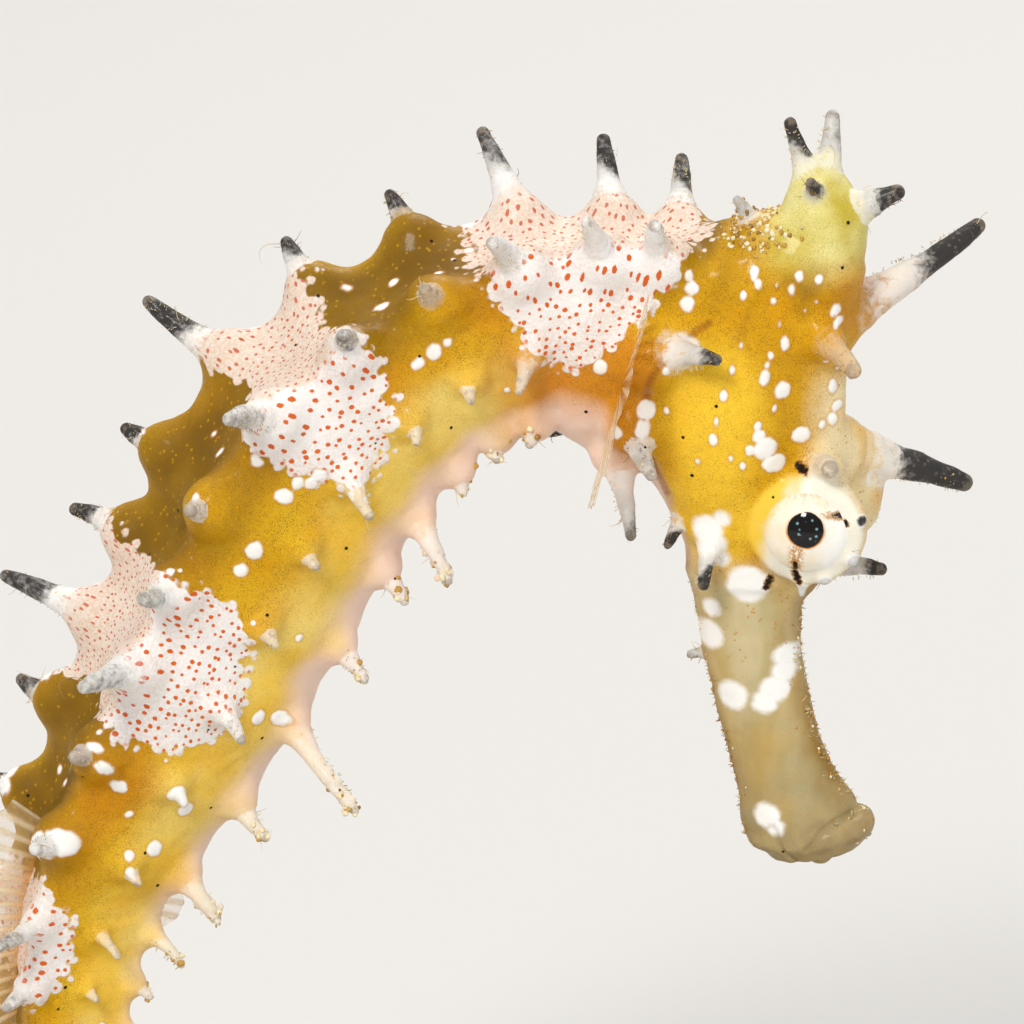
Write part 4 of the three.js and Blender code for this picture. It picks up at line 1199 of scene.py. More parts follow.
def dotMask(spacing, least, most):
    # small oval dots, one to a cell, some larger; radii in cells
    cells = addNode("TexVoronoi", {"Vector": vector("dotPlace"), "Scale": 1 / spacing, "Randomness": 0.72},
                    voronoi_dimensions="2D")
    pick = addNode("SeparateXYZ", {0: cells.outputs["Color"]}).outputs[0]
    size = scaled(pick, most - least, least)
    wobble = swing(noise(objectPlace(), 0.00022), 0.2)
    gap = calc("SUBTRACT", plus(cells.outputs["Distance"], wobble), size)
    return inverse(span(gap, -0.03, 0.035))


def skinFinish():
    finish = newFinish("seahorseSkin")
    look, t = skinLook, skinTones
    place = objectPlace()
    back, belly = mask("back"), mask("belly")
    clouds = drift(place, 0.009)
    fineClouds = drift(place, 0.0035, 0.3)
    colour = mixed(clouds, t["golden"], t["deep"])
    colour = mixed(times(fineClouds, mask("side")), colour, t["lemon"])
    mossy = times(drift(place, 0.007, 0.6), 0.28)
    colour = mixed(mossy, colour, t["moss"])
    freckles = times(specks(place, 0.34, 0.32, 0.4), 0.45)
    backTone = mixed(freckles, mixed(fineClouds, t["olive"], t["backDeep"]), t["golden"])
    colour = mixed(times(back, 0.9), colour, backTone)
    lowTone = mixed(drift(place, 0.0045, 0.55), t["peach"], t["paleGold"])
    patchyLow = scaled(drift(place, 0.006, 0.3), 0.55, 0.45)
    colour = mixed(times(mask("lowSide"), patchyLow), colour, lowTone)
    rusty = times(mask("rust"), scaled(fineClouds, 0.3, 0.6))
    colour = mixed(rusty, colour, t["rust"])
    colour = mixed(belly, colour, t["belly"])

    # regions of the head
    colour = mixed(times(mask("cheek"), span(fineClouds, -0.4, 1.0)), colour, t["cheek"])
    gillHere = times(mask("gill"), scaled(fineClouds, -0.35, 1.0))
    colour = mixed(gillHere, colour, t["gill"])
    colour = mixed(mask("crown"), colour, mixed(fineClouds, t["crown"], t["crownPale"]))
    streaky = addNode("Mapping", {"Vector": place, "Scale": (1.0, 1.0, 0.35)}).outputs[0]
    blotch = drift(streaky, 0.0016, 0.4)
    snoutTone = mixed(times(blotch, 0.6), t["snout"], t["snoutPale"])
    # painted shade: the snout's colour darkens towards the mouth
    snoutTone = mixed(times(mask("muzzleShade"), 0.62), snoutTone, t["muzzleShade"])
    snoutTone = mixed(times(drift(place, 0.005, 0.6), 0.24), snoutTone, t["golden"])
    edgeHere = times(mask("snoutEdge"), scaled(blotch, -0.45, 0.95))
    snoutTone = mixed(edgeHere, snoutTone, t["snoutEdge"])
    colour = mixed(mask("snout"), colour, snoutTone)
    lipTone = mixed(times(drift(place, 0.0011, 0.5), 0.5), t["lips"], t["snout"])
    colour = mixed(times(mask("lips"), 0.85), colour, lipTone)
    rim = mixed(mask("orbitYellow"), t["orbit"], t["orbitRim"])
    colour = mixed(mask("orbit"), colour, rim)
    speckled = times(specks(place, 0.3, 0.28, 0.35), mask("speckled"))
    colour = mixed(times(speckled, 0.75), colour, t["speckle"])

    # a brown line behind the gill cover
    foldHere = times(span(mask("fold"), -0.22, 0.1), span(fineClouds, -0.3, 0.9, 0.3, 0.8))
    colour = mixed(foldHere, colour, t["fold"])

    # the fine dark network of the skin
    grain = useGroup(skinGrain, {"Place": place, "Cell": 1000 / look["grainCell"], "Amount": mask("grain")})
    colour = mixed(grain["Dark"], colour, t["grain"])

    # saddles with their dots, and the white spots
    onSaddle = saddleMask(place)
    dense = span(plus(mask("dense"), times(fineClouds, 0.25)), 0.45, 0.7)
    sideward = inverse(dense)
    white = mixed(times(fineClouds, 0.7), t["saddle"], t["saddleShade"])
    granules = span(noise(place, 0.00017, 2.0, 0.55), 0.4, 0.56)
    white = mixed(times(granules, 0.6), white, t["saddle"])
    white = mixed(scaled(granules, -0.2, times(dense, 0.62)), white, t["saddleBack"])
    dots = mixed(times(dotMask(look["dotSpacing"], *look["dotSize"]), sideward), white, t["dot"])
    backDots = dotMask(look["backDotSpacing"], *look["backDotSize"])
    dots = mixed(times(backDots, times(dense, 0.85)), dots, t["dotBack"])
    white = mixed(mask("dots"), white, dots)
    colour = mixed(times(onSaddle, 0.95), colour, white)
    wobble = swing(noise(place, 0.0005, 1.0), 0.26)
    inSpot = plus(mask("spots"), wobble)
    colour = mixed(times(span(inSpot, -0.18, -0.04), 0.4), colour, t["spotEdge"])
    colour = mixed(span(inSpot, -0.08, 0.1, 0.0, 0.96), colour, t["spot"])
    patch = plus(mask("patches"), wobble)
    colour = mixed(span(patch, -0.24, 0.2, 0.0, 0.97), colour, t["spot"])

    # spines: pale foot, grey shaft, black towards the tip and a paler cap
    up, pale, dark = mask("spineUp"), mask("spinePale"), mask("spineDark")
    patchy = noise(place, 0.0007, 3.0, 0.65)
    ragged = times(up, scaled(patchy, 3.2, -0.6))
    foot = times(span(ragged, 0.02, 0.36), pale)
    colour = mixed(foot, colour, t["spineWhite"])
    grey = span(plus(up, swing(patchy, 0.5)), 0.38, 0.68)
    greyTone = mixed(patchy, t["spineGrey"], t["spineWhite"])
    colour = mixed(times(grey, mask("spineGreyness")), colour, greyTone)
    inkDrift = noise(place, 0.00045, 4.0, 0.65)
    inky = plus(dark, swing(inkDrift, 1.15))
    # black towards the tips with pale specks: partly the spines' own speckle, partly painted glints
    inkAndGlintTone = mixed(times(specks(place, 0.32, 0.4, 0.5), 0.28), t["spineBlack"], t["spineTip"])
    colour = mixed(span(inky, 0.3, 0.92, 0.0, 0.96), colour, inkAndGlintTone)
    cap = times(span(up, 0.95, 1.0), span(patchy, 0.4, 0.6))
    colour = mixed(times(cap, 0.6), colour, t["spineTip"])

    # dark marks and black specks
    marks = plus(mask("marks"), swing(noise(place, 0.00025, 2.0, 0.6), 0.42))
    colour = mixed(span(marks, -0.16, -0.02), colour, t["brown"])
    colour = mixed(span(marks, -0.06, 0.04), colour, t["black"])
    colour = mixed(specks(place, 1.5, 0.09, 0.5), colour, t["black"])

    rough = span(noise(place, 0.0012, 3.0), 0.3, 0.7, *look["roughness"])
    height = scaled(grain["Height"], 0.35, times(onSaddle, 0.9))
    height = plus(height, times(noise(place, 0.0005, 3.0, 0.6), 1.1))
    height = plus(height, times(span(inSpot, -0.05, 0.15), 1.2))
    height = plus(height, times(times(granules, onSaddle), 0.8))
    setShader(Base_Color=colour, Roughness=rough, Subsurface_Weight=look["subsurface"],
              Subsurface_Radius=look["subsurfaceRadius"], Subsurface_Scale=look["subsurfaceScale"],
              Coat_Weight=look["coat"], Coat_Roughness=look["coatRoughness"],
              Specular_IOR_Level=look["specular"], Normal=bumpFrom(height, *look["bump"]))
    return finish


# the skin piece

# how far they stand out of the skin, and the size of the unevenness
reliefs = {"spot": 0.075, "saddle": 0.03, "coarse": 0.05, "coarseSize": 1.3, "fine": 0.028, "fineSize": 0.5}


def pointNormals(points, faces):
    across = points[faces[:, 2]] - points[faces[:, 0]]
    other = points[faces[:, 3]] - points[faces[:, 1]]
    normal = np.cross(across, other)
    total = np.zeros_like(points)
    for k in range(4):
        for axis in range(3):
            total[:, axis] += np.bincount(faces[:, k], normal[:, axis], len(points))
    return unit(total)


def addAttribute(piece, name, values):
    # a number or a vector for each point
    isVector = np.ndim(values) == 2
    attribute = piece.data.attributes.new(name, "FLOAT_VECTOR" if isVector else "FLOAT", "POINT")
    attribute.data.foreach_set("vector" if isVector else "value", np.asarray(values, np.float32).ravel())


def skinMasks(points):
    along, angle = bodyPlaces(points)
    head = toHead(points)
    down = np.abs(angle)
    region = headRegions(head)
    onHead, snoutOn = region.pop("onHead"), region["snout"]
    body = 1 - np.maximum(onHead, snoutOn)
    depth, width = bodySize(along)
    reach = (depth + width) / 2
    up, dark = spinePlaces(points)
    paleness, greyness = spinePaleness(points)
    saddle = np.where(body > 0.4, saddleField(along, angle, points), -3)
    back = (1 - rise(down + 14 * softNoise(points, 3.5, 33), 10, 52)) * lerp(1.0, 0.7, rise(along, 60, 100)) * body
    nape = (1 - rise(head[:, 0], -4.2, 0.8)) * rise(head[:, 2], 4.6, 8.6) * onHead * 0.85
    underCrown = np.hypot((head[:, 0] - 2.4) / 1.3, (head[:, 2] - 6.4 - 0.5 * head[:, 0]) / 2.4)
    nape = np.maximum(nape, (1 - rise(underCrown + 0.5 * softNoise(points, 1.2, 38), 0.3, 1.0)) * onHead * 0.55)
    back = np.maximum(back, nape)
    lower = lerp(0, 14, rise(along, 6, 22))
    throat = lerp(34, 14, rise(along, 2, 6.5)) * (1 - rise(along, 9, 20)) + lerp(0, 10, rise(along, 30, 44))
    bellyDown = down - lower - throat + 7 * softNoise(points, 3.0, 31) + 6 * softNoise(points, 1.6, 36)
    belly = rise(bellyDown, 100, 130) * body
    lowSide = rise(down - lower + 11 * softNoise(points, 4.0, 32), 48, 88) * body * 0.95 * rise(along, 3, 14)
    rustEnd = 1 - rise(along + 2 * softNoise(points, 2.5, 37), 8, 16)
    rust = rise(along, -1, 3) * rustEnd * rise(down, 58, 80) * body
    paleZone = np.maximum.reduce([belly, snoutOn, region["cheek"] * 0.6, region["orbit"]])
    dense = reach * np.radians(angle)
    toEye = head - np.array([eyeShape["x"], 0, eyeShape["z"]])
    yellowSide = rise(-toEye[:, 0] * 0.85 + toEye[:, 2] * 0.35 + 0.4 * softNoise(points, 0.7, 35), 0.9, 2.2)
    masks = {
        "dense": 1 - rise(down, 14, 46), "back": back, "side": rise(down, 40, 80) * body * 0.8,
        "lowSide": lowSide, "belly": belly, "rust": rust, "fold": np.clip(foldField(head), -1, 1),
        **region, "orbitYellow": yellowSide,
        "snoutEdge": 1 - rise(np.abs(head[:, 1]) + 0.3 * softNoise(points, 1.2, 34), 0.5, 2.0),
        "speckled": np.maximum(region["cheek"], snoutOn * rise(head[:, 2], -20, -12)) * (1 - region["orbit"]),
        "grain": (lerp(0.66, 0.08, np.clip(paleZone, 0, 1)) * (1 - 0.4 * region["gill"]) * (1 - 0.6 * lowSide)
                  * (1 - 0.5 * region["crown"])),
        "saddle": saddle, "dots": rise(saddle, -0.2, 0.3) * (1 - rise(up, 0.3, 0.5)),
        "spots": np.clip(spotField(along, angle, reach, head), -1, 1), "patches": np.clip(patchField(head), -1, 1),
        "marks": np.clip(markField(head), -1, 1),
        "spineUp": up, "spineDark": dark, "spinePale": paleness, "spineGreyness": greyness,
    }
    dotPlace = np.stack([along, dense, np.zeros_like(along)], 1)
    return masks, dotPlace


def spinePaleness(points):
    # how white a spine's foot is and how grey its shaft, taken from the nearest spine
    pale = np.full(len(points), 0.5)
    grey = np.full(len(points), 0.5)
    nearest = np.full(len(points), 9.0)
    for s in spines:
        near = nearSpine(s, points)
        start, run = s["path"][1], s["path"][-1] - s["path"][1]
        t = np.clip((points[near] - start) @ run / (run @ run), 0, 1)
        gap = np.linalg.norm(points[near] - start - t[:, None] * run, axis=1) / s["base"]
        closer = near[gap < nearest[near]]
        nearest[near] = np.minimum(nearest[near], gap)
        pale[closer], grey[closer] = s["pale"], s["grey"]
    return pale, grey


def makeSkin():
    points = skinPoints
    faces = outwardFaces(points, skinQuads)
    normals = pointNormals(points, faces)
    masks, dotPlace = skinMasks(points)
    r = reliefs
    lift = r["spot"] * rise(masks["spots"], -0.1, 0.3) + r["saddle"] * rise(masks["saddle"], -0.2, 0.3)
    lift += r["coarse"] * softNoise(points, r["coarseSize"], 41) + r["fine"] * softNoise(points, r["fineSize"], 42)
    lift *= 1 - 0.3 * masks["spineUp"]
    lift *= 1 - 0.85 * masks["orbit"]
    piece = newMesh("skin", toFrame(points + normals * lift[:, None]), faces)
    for name, values in masks.items():
        addAttribute(piece, name, values)
    addAttribute(piece, "dotPlace", dotPlace)
    finishPiece(piece, skinFinish(), "skin", *fleshNodes)
    print("skin made,", len(points), "points")


makeSkin()


# eyes: one smooth ball on each side, with a clear bulge over the pupil

eyeLook = {
    "rows": 72, "sides": 96, "cornea": 0.15, "corneaRadius": 1.2, "pupil": 0.98,
    "gazeUp": 13.5, "gazeAhead": 5,
    "cream": tone(253, 245, 228), "vein": tone(246, 224, 184), "rim": tone(252, 206, 70),
    "white": tone(255, 252, 244), "stripe": tone(196, 128, 10), "ring": tone(214, 132, 16),
    "pupilTone": tone(12, 8, 6), "glint": tone(150, 196, 206), "markEdge": tone(186, 124, 16),
    "marks": [((2.1, 0.84), 0.8, 0.18), ((-0.52, -2.1), 0.14, 0.36)],  # place, half width and half height
}


def eyeFinish():
    finish = newFinish("eyeball")
    look = eyeLook
    place = vector("eyePlace")  # forwards, upwards and outwards from the eye's middle, in mm
    ahead, upward = addNode("SeparateXYZ", {0: place}).outputs[:2]
    flat = addNode("CombineXYZ", {0: ahead, 1: upward}).outputs[0]
    radius = addNode("VectorMath", {0: flat}, operation="LENGTH").outputs["Value"]
    clouds = drift(place, 1.4)
    colour = mixed(times(clouds, 0.45), look["cream"], look["vein"])
    threads = noise(place, 0.22, 3.0, 0.6, 0.8)
    colour = mixed(times(span(threads, 0.52, 0.7), 0.3), colour, look["vein"])
    # yellow on the side of the gill, whiter towards the forehead and the snout
    towards = plus(times(ahead, -0.85), times(upward, 0.35))
    ragged = swing(threads, 0.8)
    yellow = span(plus(towards, ragged), 1.5, 2.3)
    colour = mixed(yellow, colour, look["rim"])
    colour = mixed(span(towards, -0.6, -1.8), colour, look["white"])
    # a speckled stripe runs down from the pupil
    across = plus(ahead, scaled(upward, -0.12, 0.3))
    stripe = inverse(span(calc("ABSOLUTE", across), 0.16, 0.62))
    stripe = times(stripe, span(upward, -0.7, -1.1))
    stripe = times(stripe, span(noise(place, 0.13, 2.0, 0.6), 0.42, 0.56))
    colour = mixed(times(stripe, 0.85), colour, look["stripe"])
    streaks = noise(addNode("Mapping", {"Vector": place, "Rotation": (0, 0, 0.9),
                                        "Scale": (1.0, 0.25, 1.0)}).outputs[0], 0.2, 3.0, 0.7)
    above = times(span(upward, 0.9, 1.9), span(streaks, 0.5, 0.66))
    colour = mixed(times(above, 0.35), colour, look["stripe"])
    for centre, wide, high in look["marks"]:
        sideways = calc("DIVIDE", calc("SUBTRACT", ahead, centre[0]), wide)
        upwards = calc("DIVIDE", calc("SUBTRACT", upward, centre[1]), high)
        gap = calc("SQRT", plus(times(sideways, sideways), times(upwards, upwards)))
        gap = plus(gap, swing(threads, 2.4))
        colour = mixed(span(gap, 1.9, 1.1, 0.0, 0.8), colour, look["markEdge"])
        colour = mixed(span(gap, 1.05, 0.75), colour, look["pupilTone"])
    uneven = scaled(calc("SUBTRACT", noise(place, 0.9), 0.5), 0.16, radius)
    ring = times(span(uneven, look["pupil"] + 0.14, look["pupil"] + 0.02), span(upward, 0.9, -0.6, 0.25, 1.0))
    colour = mixed(ring, colour, look["ring"])
    inPupil = span(uneven, look["pupil"] + 0.02, look["pupil"] - 0.02)
    # painted glints: small pale blue reflections painted into the pupil's colour
    glints = times(specks(place, 330.0, 0.3, 0.75), span(radius, 0.85, 0.7))
    deep = mixed(times(glints, 0.6), look["pupilTone"], look["glint"])
    colour = mixed(inPupil, colour, deep)
    folds = addNode("TexWave", {"Vector": place, "Scale": 0.9, "Distortion": 2.5, "Detail": 2.0},
                    wave_type="RINGS", rings_direction="Z").outputs["Fac"]
    foldsHere = times(folds, span(radius, 1.9, 2.4))
    height = plus(foldsHere, times(noise(place, 0.3, 3.0), 0.5))
    height = times(height, span(radius, 1.1, 1.6))
    rough = mixed(inPupil, (0.3, 0.3, 0.3, 1), (0.04, 0.04, 0.04, 1))
    setShader(Base_Color=colour, Roughness=rough, Specular_IOR_Level=0.25,
              Coat_Weight=span(inPupil, 0.0, 1.0, 0.7, 0.45), Coat_Roughness=0.03, Coat_IOR=1.34,
              Subsurface_Weight=0.12, Subsurface_Radius=(1.0, 0.7, 0.5), Subsurface_Scale=0.0008,
              Normal=bumpFrom(height, 0.35, 0.00004))
    return finish


def makeEye(side, name, finish):
    look = eyeLook
    tilt = np.linspace(0, math.pi, look["rows"] + 1)[1:-1]
    turn = turnsOf(look["sides"])
    flat = eyeShape["radius"] * np.sin(tilt)
    rings = np.stack([np.outer(flat, np.cos(turn)), np.tile((eyeShape["bulge"] * np.cos(tilt))[:, None], len(turn)),
                      np.outer(flat, np.sin(turn))], 2)
    local, faces = ringMesh(rings)
    local[-2, 1], local[-1, 1] = eyeShape["bulge"], -eyeShape["bulge"]
    # the eye looks a little up and ahead: what is painted on it is turned that way
    up, aside = math.radians(look["gazeUp"]), math.radians(look["gazeAhead"])
    gaze = np.array([math.sin(aside) * math.cos(up), math.cos(aside) * math.cos(up), math.sin(up)])
    ahead = unit(np.array([1, 0, 0]) - gaze[0] * gaze)
    painted = local @ np.stack([ahead, np.cross(ahead, gaze), gaze], 1)
    bulge = look["cornea"] * np.exp(-(np.hypot(painted[:, 0], painted[:, 1]) / look["corneaRadius"]) ** 4)
    local = local + np.outer(bulge * (painted[:, 2] > 0), gaze)
    world = fromHead(np.array([eyeShape["x"], side * eyeShape["side"], eyeShape["z"]]) + local * [1, side, 1])
    piece = newMesh(name, toFrame(world), outwardFaces(world - world.mean(0), faces))
    addAttribute(piece, "eyePlace", painted)
    finishPiece(piece, finish, "eye", "eye_left" if side > 0 else "eye_right")


eyeball = eyeFinish()
makeEye(-1, "eyeRight", eyeball)
makeEye(1, "eyeLeft", eyeball)
print("eyes made")


# fins: thin webs held up by rays

finLook = {
    "web": 0.06, "ray": 0.16, "rippleAcross": 0.1, "scallop": 0.035,
    "webTone": tone(244, 216, 170), "rayTone": tone(252, 236, 206), "rootTone": tone(226, 160, 62),
    "dotTone": tone(206, 110, 40), "clearness": (0.14, 0.62),
}
pectoralFin = {
    "at": 4.6, "height": -2.1, "radius": 7.2, "reach": 0.85, "rise": 0.88, "root": 1.8, "spread": 82,
    "sweep": -5, "tilt": 2, "rays": 17, "sink": 0.5,
}
dorsalFin = {"from": 49.6, "to": 60.4, "height": 4.1, "rays": 18, "sink": 0.5}
analFin = {"from": 52.2, "to": 54.0, "height": 2.0, "rays": 4, "sink": 0.4}


def finFinish():
    finish = newFinish("finWeb")
    look = finLook
    outward = addNode("SeparateXYZ", {0: vector("finPlace")}).outputs[1]
    place = objectPlace()
    onRay = mask("onRay")
    colour = mixed(onRay, look["webTone"], look["rayTone"])
    colour = mixed(span(outward, 0.45, 0.0), colour, look["rootTone"])
    colour = mixed(times(specks(place, 0.5, 0.22, 0.35), 0.6), colour, look["dotTone"])
    grain = useGroup(skinGrain, {"Place": place, "Cell": 6000.0, "Amount": 0.25})
    colour = mixed(grain["Dark"], colour, skinTones["speckle"])
    solid = calc("MAXIMUM", onRay, span(outward, 0.3, 0.0))
    alpha = span(plus(solid, times(drift(place, 0.002), 0.2)), 0.0, 1.0, *look["clearness"])
    segments = addNode("TexWave", {"Vector": vector("finPlace"), "Scale": 9.0, "Distortion": 1.0},
                       bands_direction="Y").outputs["Fac"]
    height = scaled(grain["Height"], 0.3, times(segments, onRay))
    setShader(Base_Color=colour, Alpha=alpha, Roughness=span(grain["Height"], 0, 1, 0.28, 0.42),
              Coat_Weight=0.3, Coat_Roughness=0.15, Subsurface_Weight=0.25, Subsurface_Scale=0.001,
              Subsurface_Radius=(1.0, 0.7, 0.4), Normal=bumpFrom(height, 0.4, 0.00003))
    return finish


def makeFin(name, node, roots, tips, sideways, rays, finish):
    # roots and tips run along the fin; it is thickest on its rays, and its edge dips between them
    look = finLook
    rows, columns = 26, len(roots)
    share = np.linspace(0, rays - 1, columns)
    onRay = (0.5 + 0.5 * np.cos(2 * math.pi * share)) ** 2.5
    out = np.linspace(0, 1, rows)
    reach = 1 - look["scallop"] * (1 - onRay)
    edge = roots[:, None] + (tips - roots)[:, None] * reach[:, None, None]
    points = lerp(roots[:, None], edge, out[None, :, None])
    wave = look["rippleAcross"] * np.sin(share * 1.7)[:, None] * out[None, :] ** 1.5
    points = points + sideways[:, None] * wave[..., None]
    taper = lerp(1.0, 0.35, out ** 1.3)
    thick = (look["web"] + look["ray"] * onRay[:, None] * taper[None, :]) / 2
    thick[:, -1] *= 0.3
    front = points + sideways[:, None] * thick[..., None]
    behind = points - sideways[:, None] * thick[..., None]
    index = np.arange(columns * rows).reshape(columns, rows)
    total = columns * rows
    cells = np.stack([index[:-1, :-1], index[1:, :-1], index[1:, 1:], index[:-1, 1:]], -1).reshape(-1, 4)
    loop = np.concatenate([index[0, :], index[1:, -1], index[-1, -2::-1], index[-2:0:-1, 0]])
    nextLoop = np.roll(loop, -1)
    walls = np.stack([loop, nextLoop, nextLoop + total, loop + total], 1)
    faces = np.concatenate([cells[:, ::-1], cells + total, walls])
    both = np.concatenate([front.reshape(-1, 3), behind.reshape(-1, 3)])
    piece = newMesh(name, toFrame(both), outwardFaces(both - both.mean(0), faces))
    place = np.stack([np.repeat(share, rows), np.tile(out, columns), np.zeros(total)], 1)
    addAttribute(piece, "finPlace", np.concatenate([place, place]))
    addAttribute(piece, "onRay", np.tile(np.repeat(onRay, rows), 2))
    finishPiece(piece, finish, "fin", node)


def makePectoralFin(side, name, node, finish):
    f = pectoralFin
    place, tangent, back, left = frameAt(f["at"])
    width = bodySize(f["at"])[1]
    sweep, tilt = math.radians(f["sweep"]), math.radians(f["tilt"])
    outward = left * side * math.cos(sweep) + tangent * math.sin(sweep)
    upward = back * math.cos(tilt) - tangent * math.sin(tilt)
    root = place + left * side * width * 0.96 + back * f["height"]
    t = np.linspace(0, 1, (f["rays"] - 1) * 8 + 1)[:, None]
    angle = np.radians(lerp(-f["spread"], f["spread"], t))
    radius = f["radius"] * (0.93 + 0.07 * np.cos(2 * angle))
    stretch = np.sin(math.pi * t) ** 0.5
    roots = root + upward * (t - 0.5) * 2 * f["root"] * 0.9 - outward * f["sink"]
    tips = root + outward * f["reach"] * radius * np.cos(angle) * lerp(1, 1.02, stretch)
    tips = tips + upward * ((t - 0.5) * f["root"] + radius * np.sin(angle) * f["rise"])
    sideways = np.tile(unit(np.cross(outward, upward)), (len(t), 1))
    makeFin(name, node, roots, tips, sideways, f["rays"], finish)


def makeMedianFin(f, side, name, node, finish):
    t = np.linspace(0, 1, (f["rays"] - 1) * 8 + 1)
    along = lerp(f["from"], f["to"], t)
    place, tangent, back, left = frameAt(along)
    depth = bodySize(along)[0]
    corner = np.array([0.0 if side > 0 else len(bodyShape["trunk"]) - 1.0])
    height = np.array([bodySection(at, corner)[0, 1] for at in along]) * depth
    foot = place + back * (height - side * f["sink"])[:, None]
    rise = f["height"] * np.sqrt(np.sin(math.pi * (0.1 + 0.8 * t)))
    lean = (t - 0.35) * f["height"] * 0.6
    tips = place + back * (height + side * rise)[:, None] + tangent * lean[:, None]
    makeFin(name, node, foot, tips, left, f["rays"], finish)


finWeb = finFinish()
makePectoralFin(-1, "pectoralFinRight", "pectoral_fin_right", finWeb)
makePectoralFin(1, "pectoralFinLeft", "pectoral_fin_left", finWeb)
makeMedianFin(dorsalFin, 1, "dorsalFin", "dorsal_fin", finWeb)
makeMedianFin(analFin, -1, "analFin", "anal_fin", finWeb)
print("fins made")


# stand: a dark wooden base with round corners and a turned brass rod

sharpFrom = math.radians(40)  # edges steeper than this look sharp
baseLook = {
    "corner": 9, "cornerSteps": 12,
    "grain": tone(30, 17, 10), "wood": tone(70, 40, 24), "light": tone(98, 60, 36),
    # height and inset of the edge, from the underside to the top
    "edge": [(0, 0.9), (0, 0.35), (0.12, 0.1), (0.4, 0), (3.6, 0), (3.9, 0.08), (4.15, 0.35), (4.3, 0.8),
             (4.7, 0.95), (5.2, 1.1), (5.6, 1.45), (5.85, 1.95), (5.96, 2.5), (6.0, 3.2)],
}
rodLook = {
    "foot": 3.4, "footHeight": 1.2, "shaft": 0.9, "cup": 1.1, "cupHeight": 1.6, "sides": 64,
    "brass": tone(214, 176, 96), "dull": tone(150, 112, 52),
}


def woodFinish():
    finish = newFinish("darkWood")
    look = baseLook
    place = objectPlace()
    long = addNode("Mapping", {"Vector": place, "Scale": (0.12, 1.0, 1.0)}).outputs[0]
    bent = drift(place, 0.03)
    rings = addNode("TexWave", {"Vector": long, "Scale": 260.0, "Distortion": 5.0, "Detail": 3.0,
                                "Detail Scale": 1.4}, bands_direction="Y").outputs["Fac"]
    colour = mixed(rings, look["wood"], look["light"])
    pores = noise(addNode("Mapping", {"Vector": place, "Scale": (0.05, 1.0, 1.0)}).outputs[0], 0.00035, 2.0, 0.7)
    onPore = span(pores, 0.55, 0.7)
    colour = mixed(times(onPore, 0.75), colour, look["grain"])
    colour = mixed(times(bent, 0.4), colour, look["grain"])
    rough = span(plus(onPore, times(bent, 0.4)), 0, 1.2, 0.3, 0.55)
    height = calc("SUBTRACT", times(rings, 0.3), onPore)
    setShader(Base_Color=colour, Roughness=rough, Coat_Weight=0.35, Coat_Roughness=0.18,
              Normal=bumpFrom(height, 0.3, 0.00005))
    return finish


def brassFinish():
    finish = newFinish("turnedBrass")
    look = rodLook
    place = objectPlace()
    turned = addNode("Mapping", {"Vector": place, "Scale": (0.05, 0.05, 1.0)}).outputs[0]
    lines = noise(turned, 0.00006, 2.0, 0.6)
    dull = drift(place, 0.003, 0.3)
    colour = mixed(times(dull, 0.5), look["brass"], look["dull"])
    rough = span(plus(lines, times(dull, 0.5)), 0.3, 1.2, 0.16, 0.42)
    setShader(Base_Color=colour, Metallic=1.0, Roughness=rough, Normal=bumpFrom(lines, 0.25, 0.00001))
    return finish


def makeBase():
    low, high = (np.array(v) * 1000 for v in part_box("stand_base"))
    half = (high - low) / 2
    middle = (low + high) / 2
    steps = baseLook["cornerSteps"]
    quarter = np.linspace(0, math.pi / 2, steps)
    rings = []
    for z, inset in baseLook["edge"]:
        radius = max(baseLook["corner"] - inset, 0.5)
        ring = []
        for k, (sx, sy) in enumerate(((1, 1), (-1, 1), (-1, -1), (1, -1))):
            turn = quarter + k * math.pi / 2
            centre = (sx * (half[0] - inset - radius), sy * (half[1] - inset - radius))
            ring += [(centre[0] + radius * math.cos(a), centre[1] + radius * math.sin(a), z) for a in turn]
        rings.append(np.array(ring) + [middle[0], middle[1], low[2]])
    points, faces = ringMesh(rings)
    piece = newMesh("standBase", points / 1000, outwardFaces(points - points.mean(0), faces))
    piece.data.set_sharp_from_angle(angle=sharpFrom)
    finishPiece(piece, woodFinish(), "base", "stand_base")


def makeRod():
    # the tail's two ridges rest on the rim of the rod's rounded top
    low, high = (np.array(v) * 1000 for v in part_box("stand_rod"))
    r = rodLook
    length = high[2] - low[2]
    middle = (low + high) / 2
    foot, wide, shaft, cup, cupHeight = (r[name] for name in ("footHeight", "foot", "shaft", "cup", "cupHeight"))
    profile = [(0.0, wide), (foot * 0.35, wide), (foot * 0.5, wide - 0.12), (foot * 0.6, wide - 0.35),
               (foot * 0.85, shaft + 1.0), (foot * 1.1, shaft + 0.35), (foot * 1.6, shaft),
               (length - cupHeight, shaft), (length - cupHeight * 0.7, shaft - 0.12), (length - 0.9, cup - 0.12),
               (length - 0.45, cup), (length - 0.1, cup - 0.05), (length + 0.12, cup - 0.3), (length + 0.2, 0.4)]
    heights, radii = np.array(profile).T
    turn = turnsOf(r["sides"])
    rings = [np.stack([middle[0] + radius * np.cos(turn), middle[1] + radius * np.sin(turn),
                       np.full(len(turn), low[2] + z)], 1) for z, radius in zip(heights, radii)]
    points, faces = ringMesh(rings)
    piece = newMesh("standRod", points / 1000, outwardFaces(points - points.mean(0), faces))
    piece.data.set_sharp_from_angle(angle=sharpFrom)
    finishPiece(piece, brassFinish(), "rod", "stand_rod")


makeBase()
makeRod()
print("stand made")


# loose strands: short hairs on the spines and the snout, and a few long curled ones

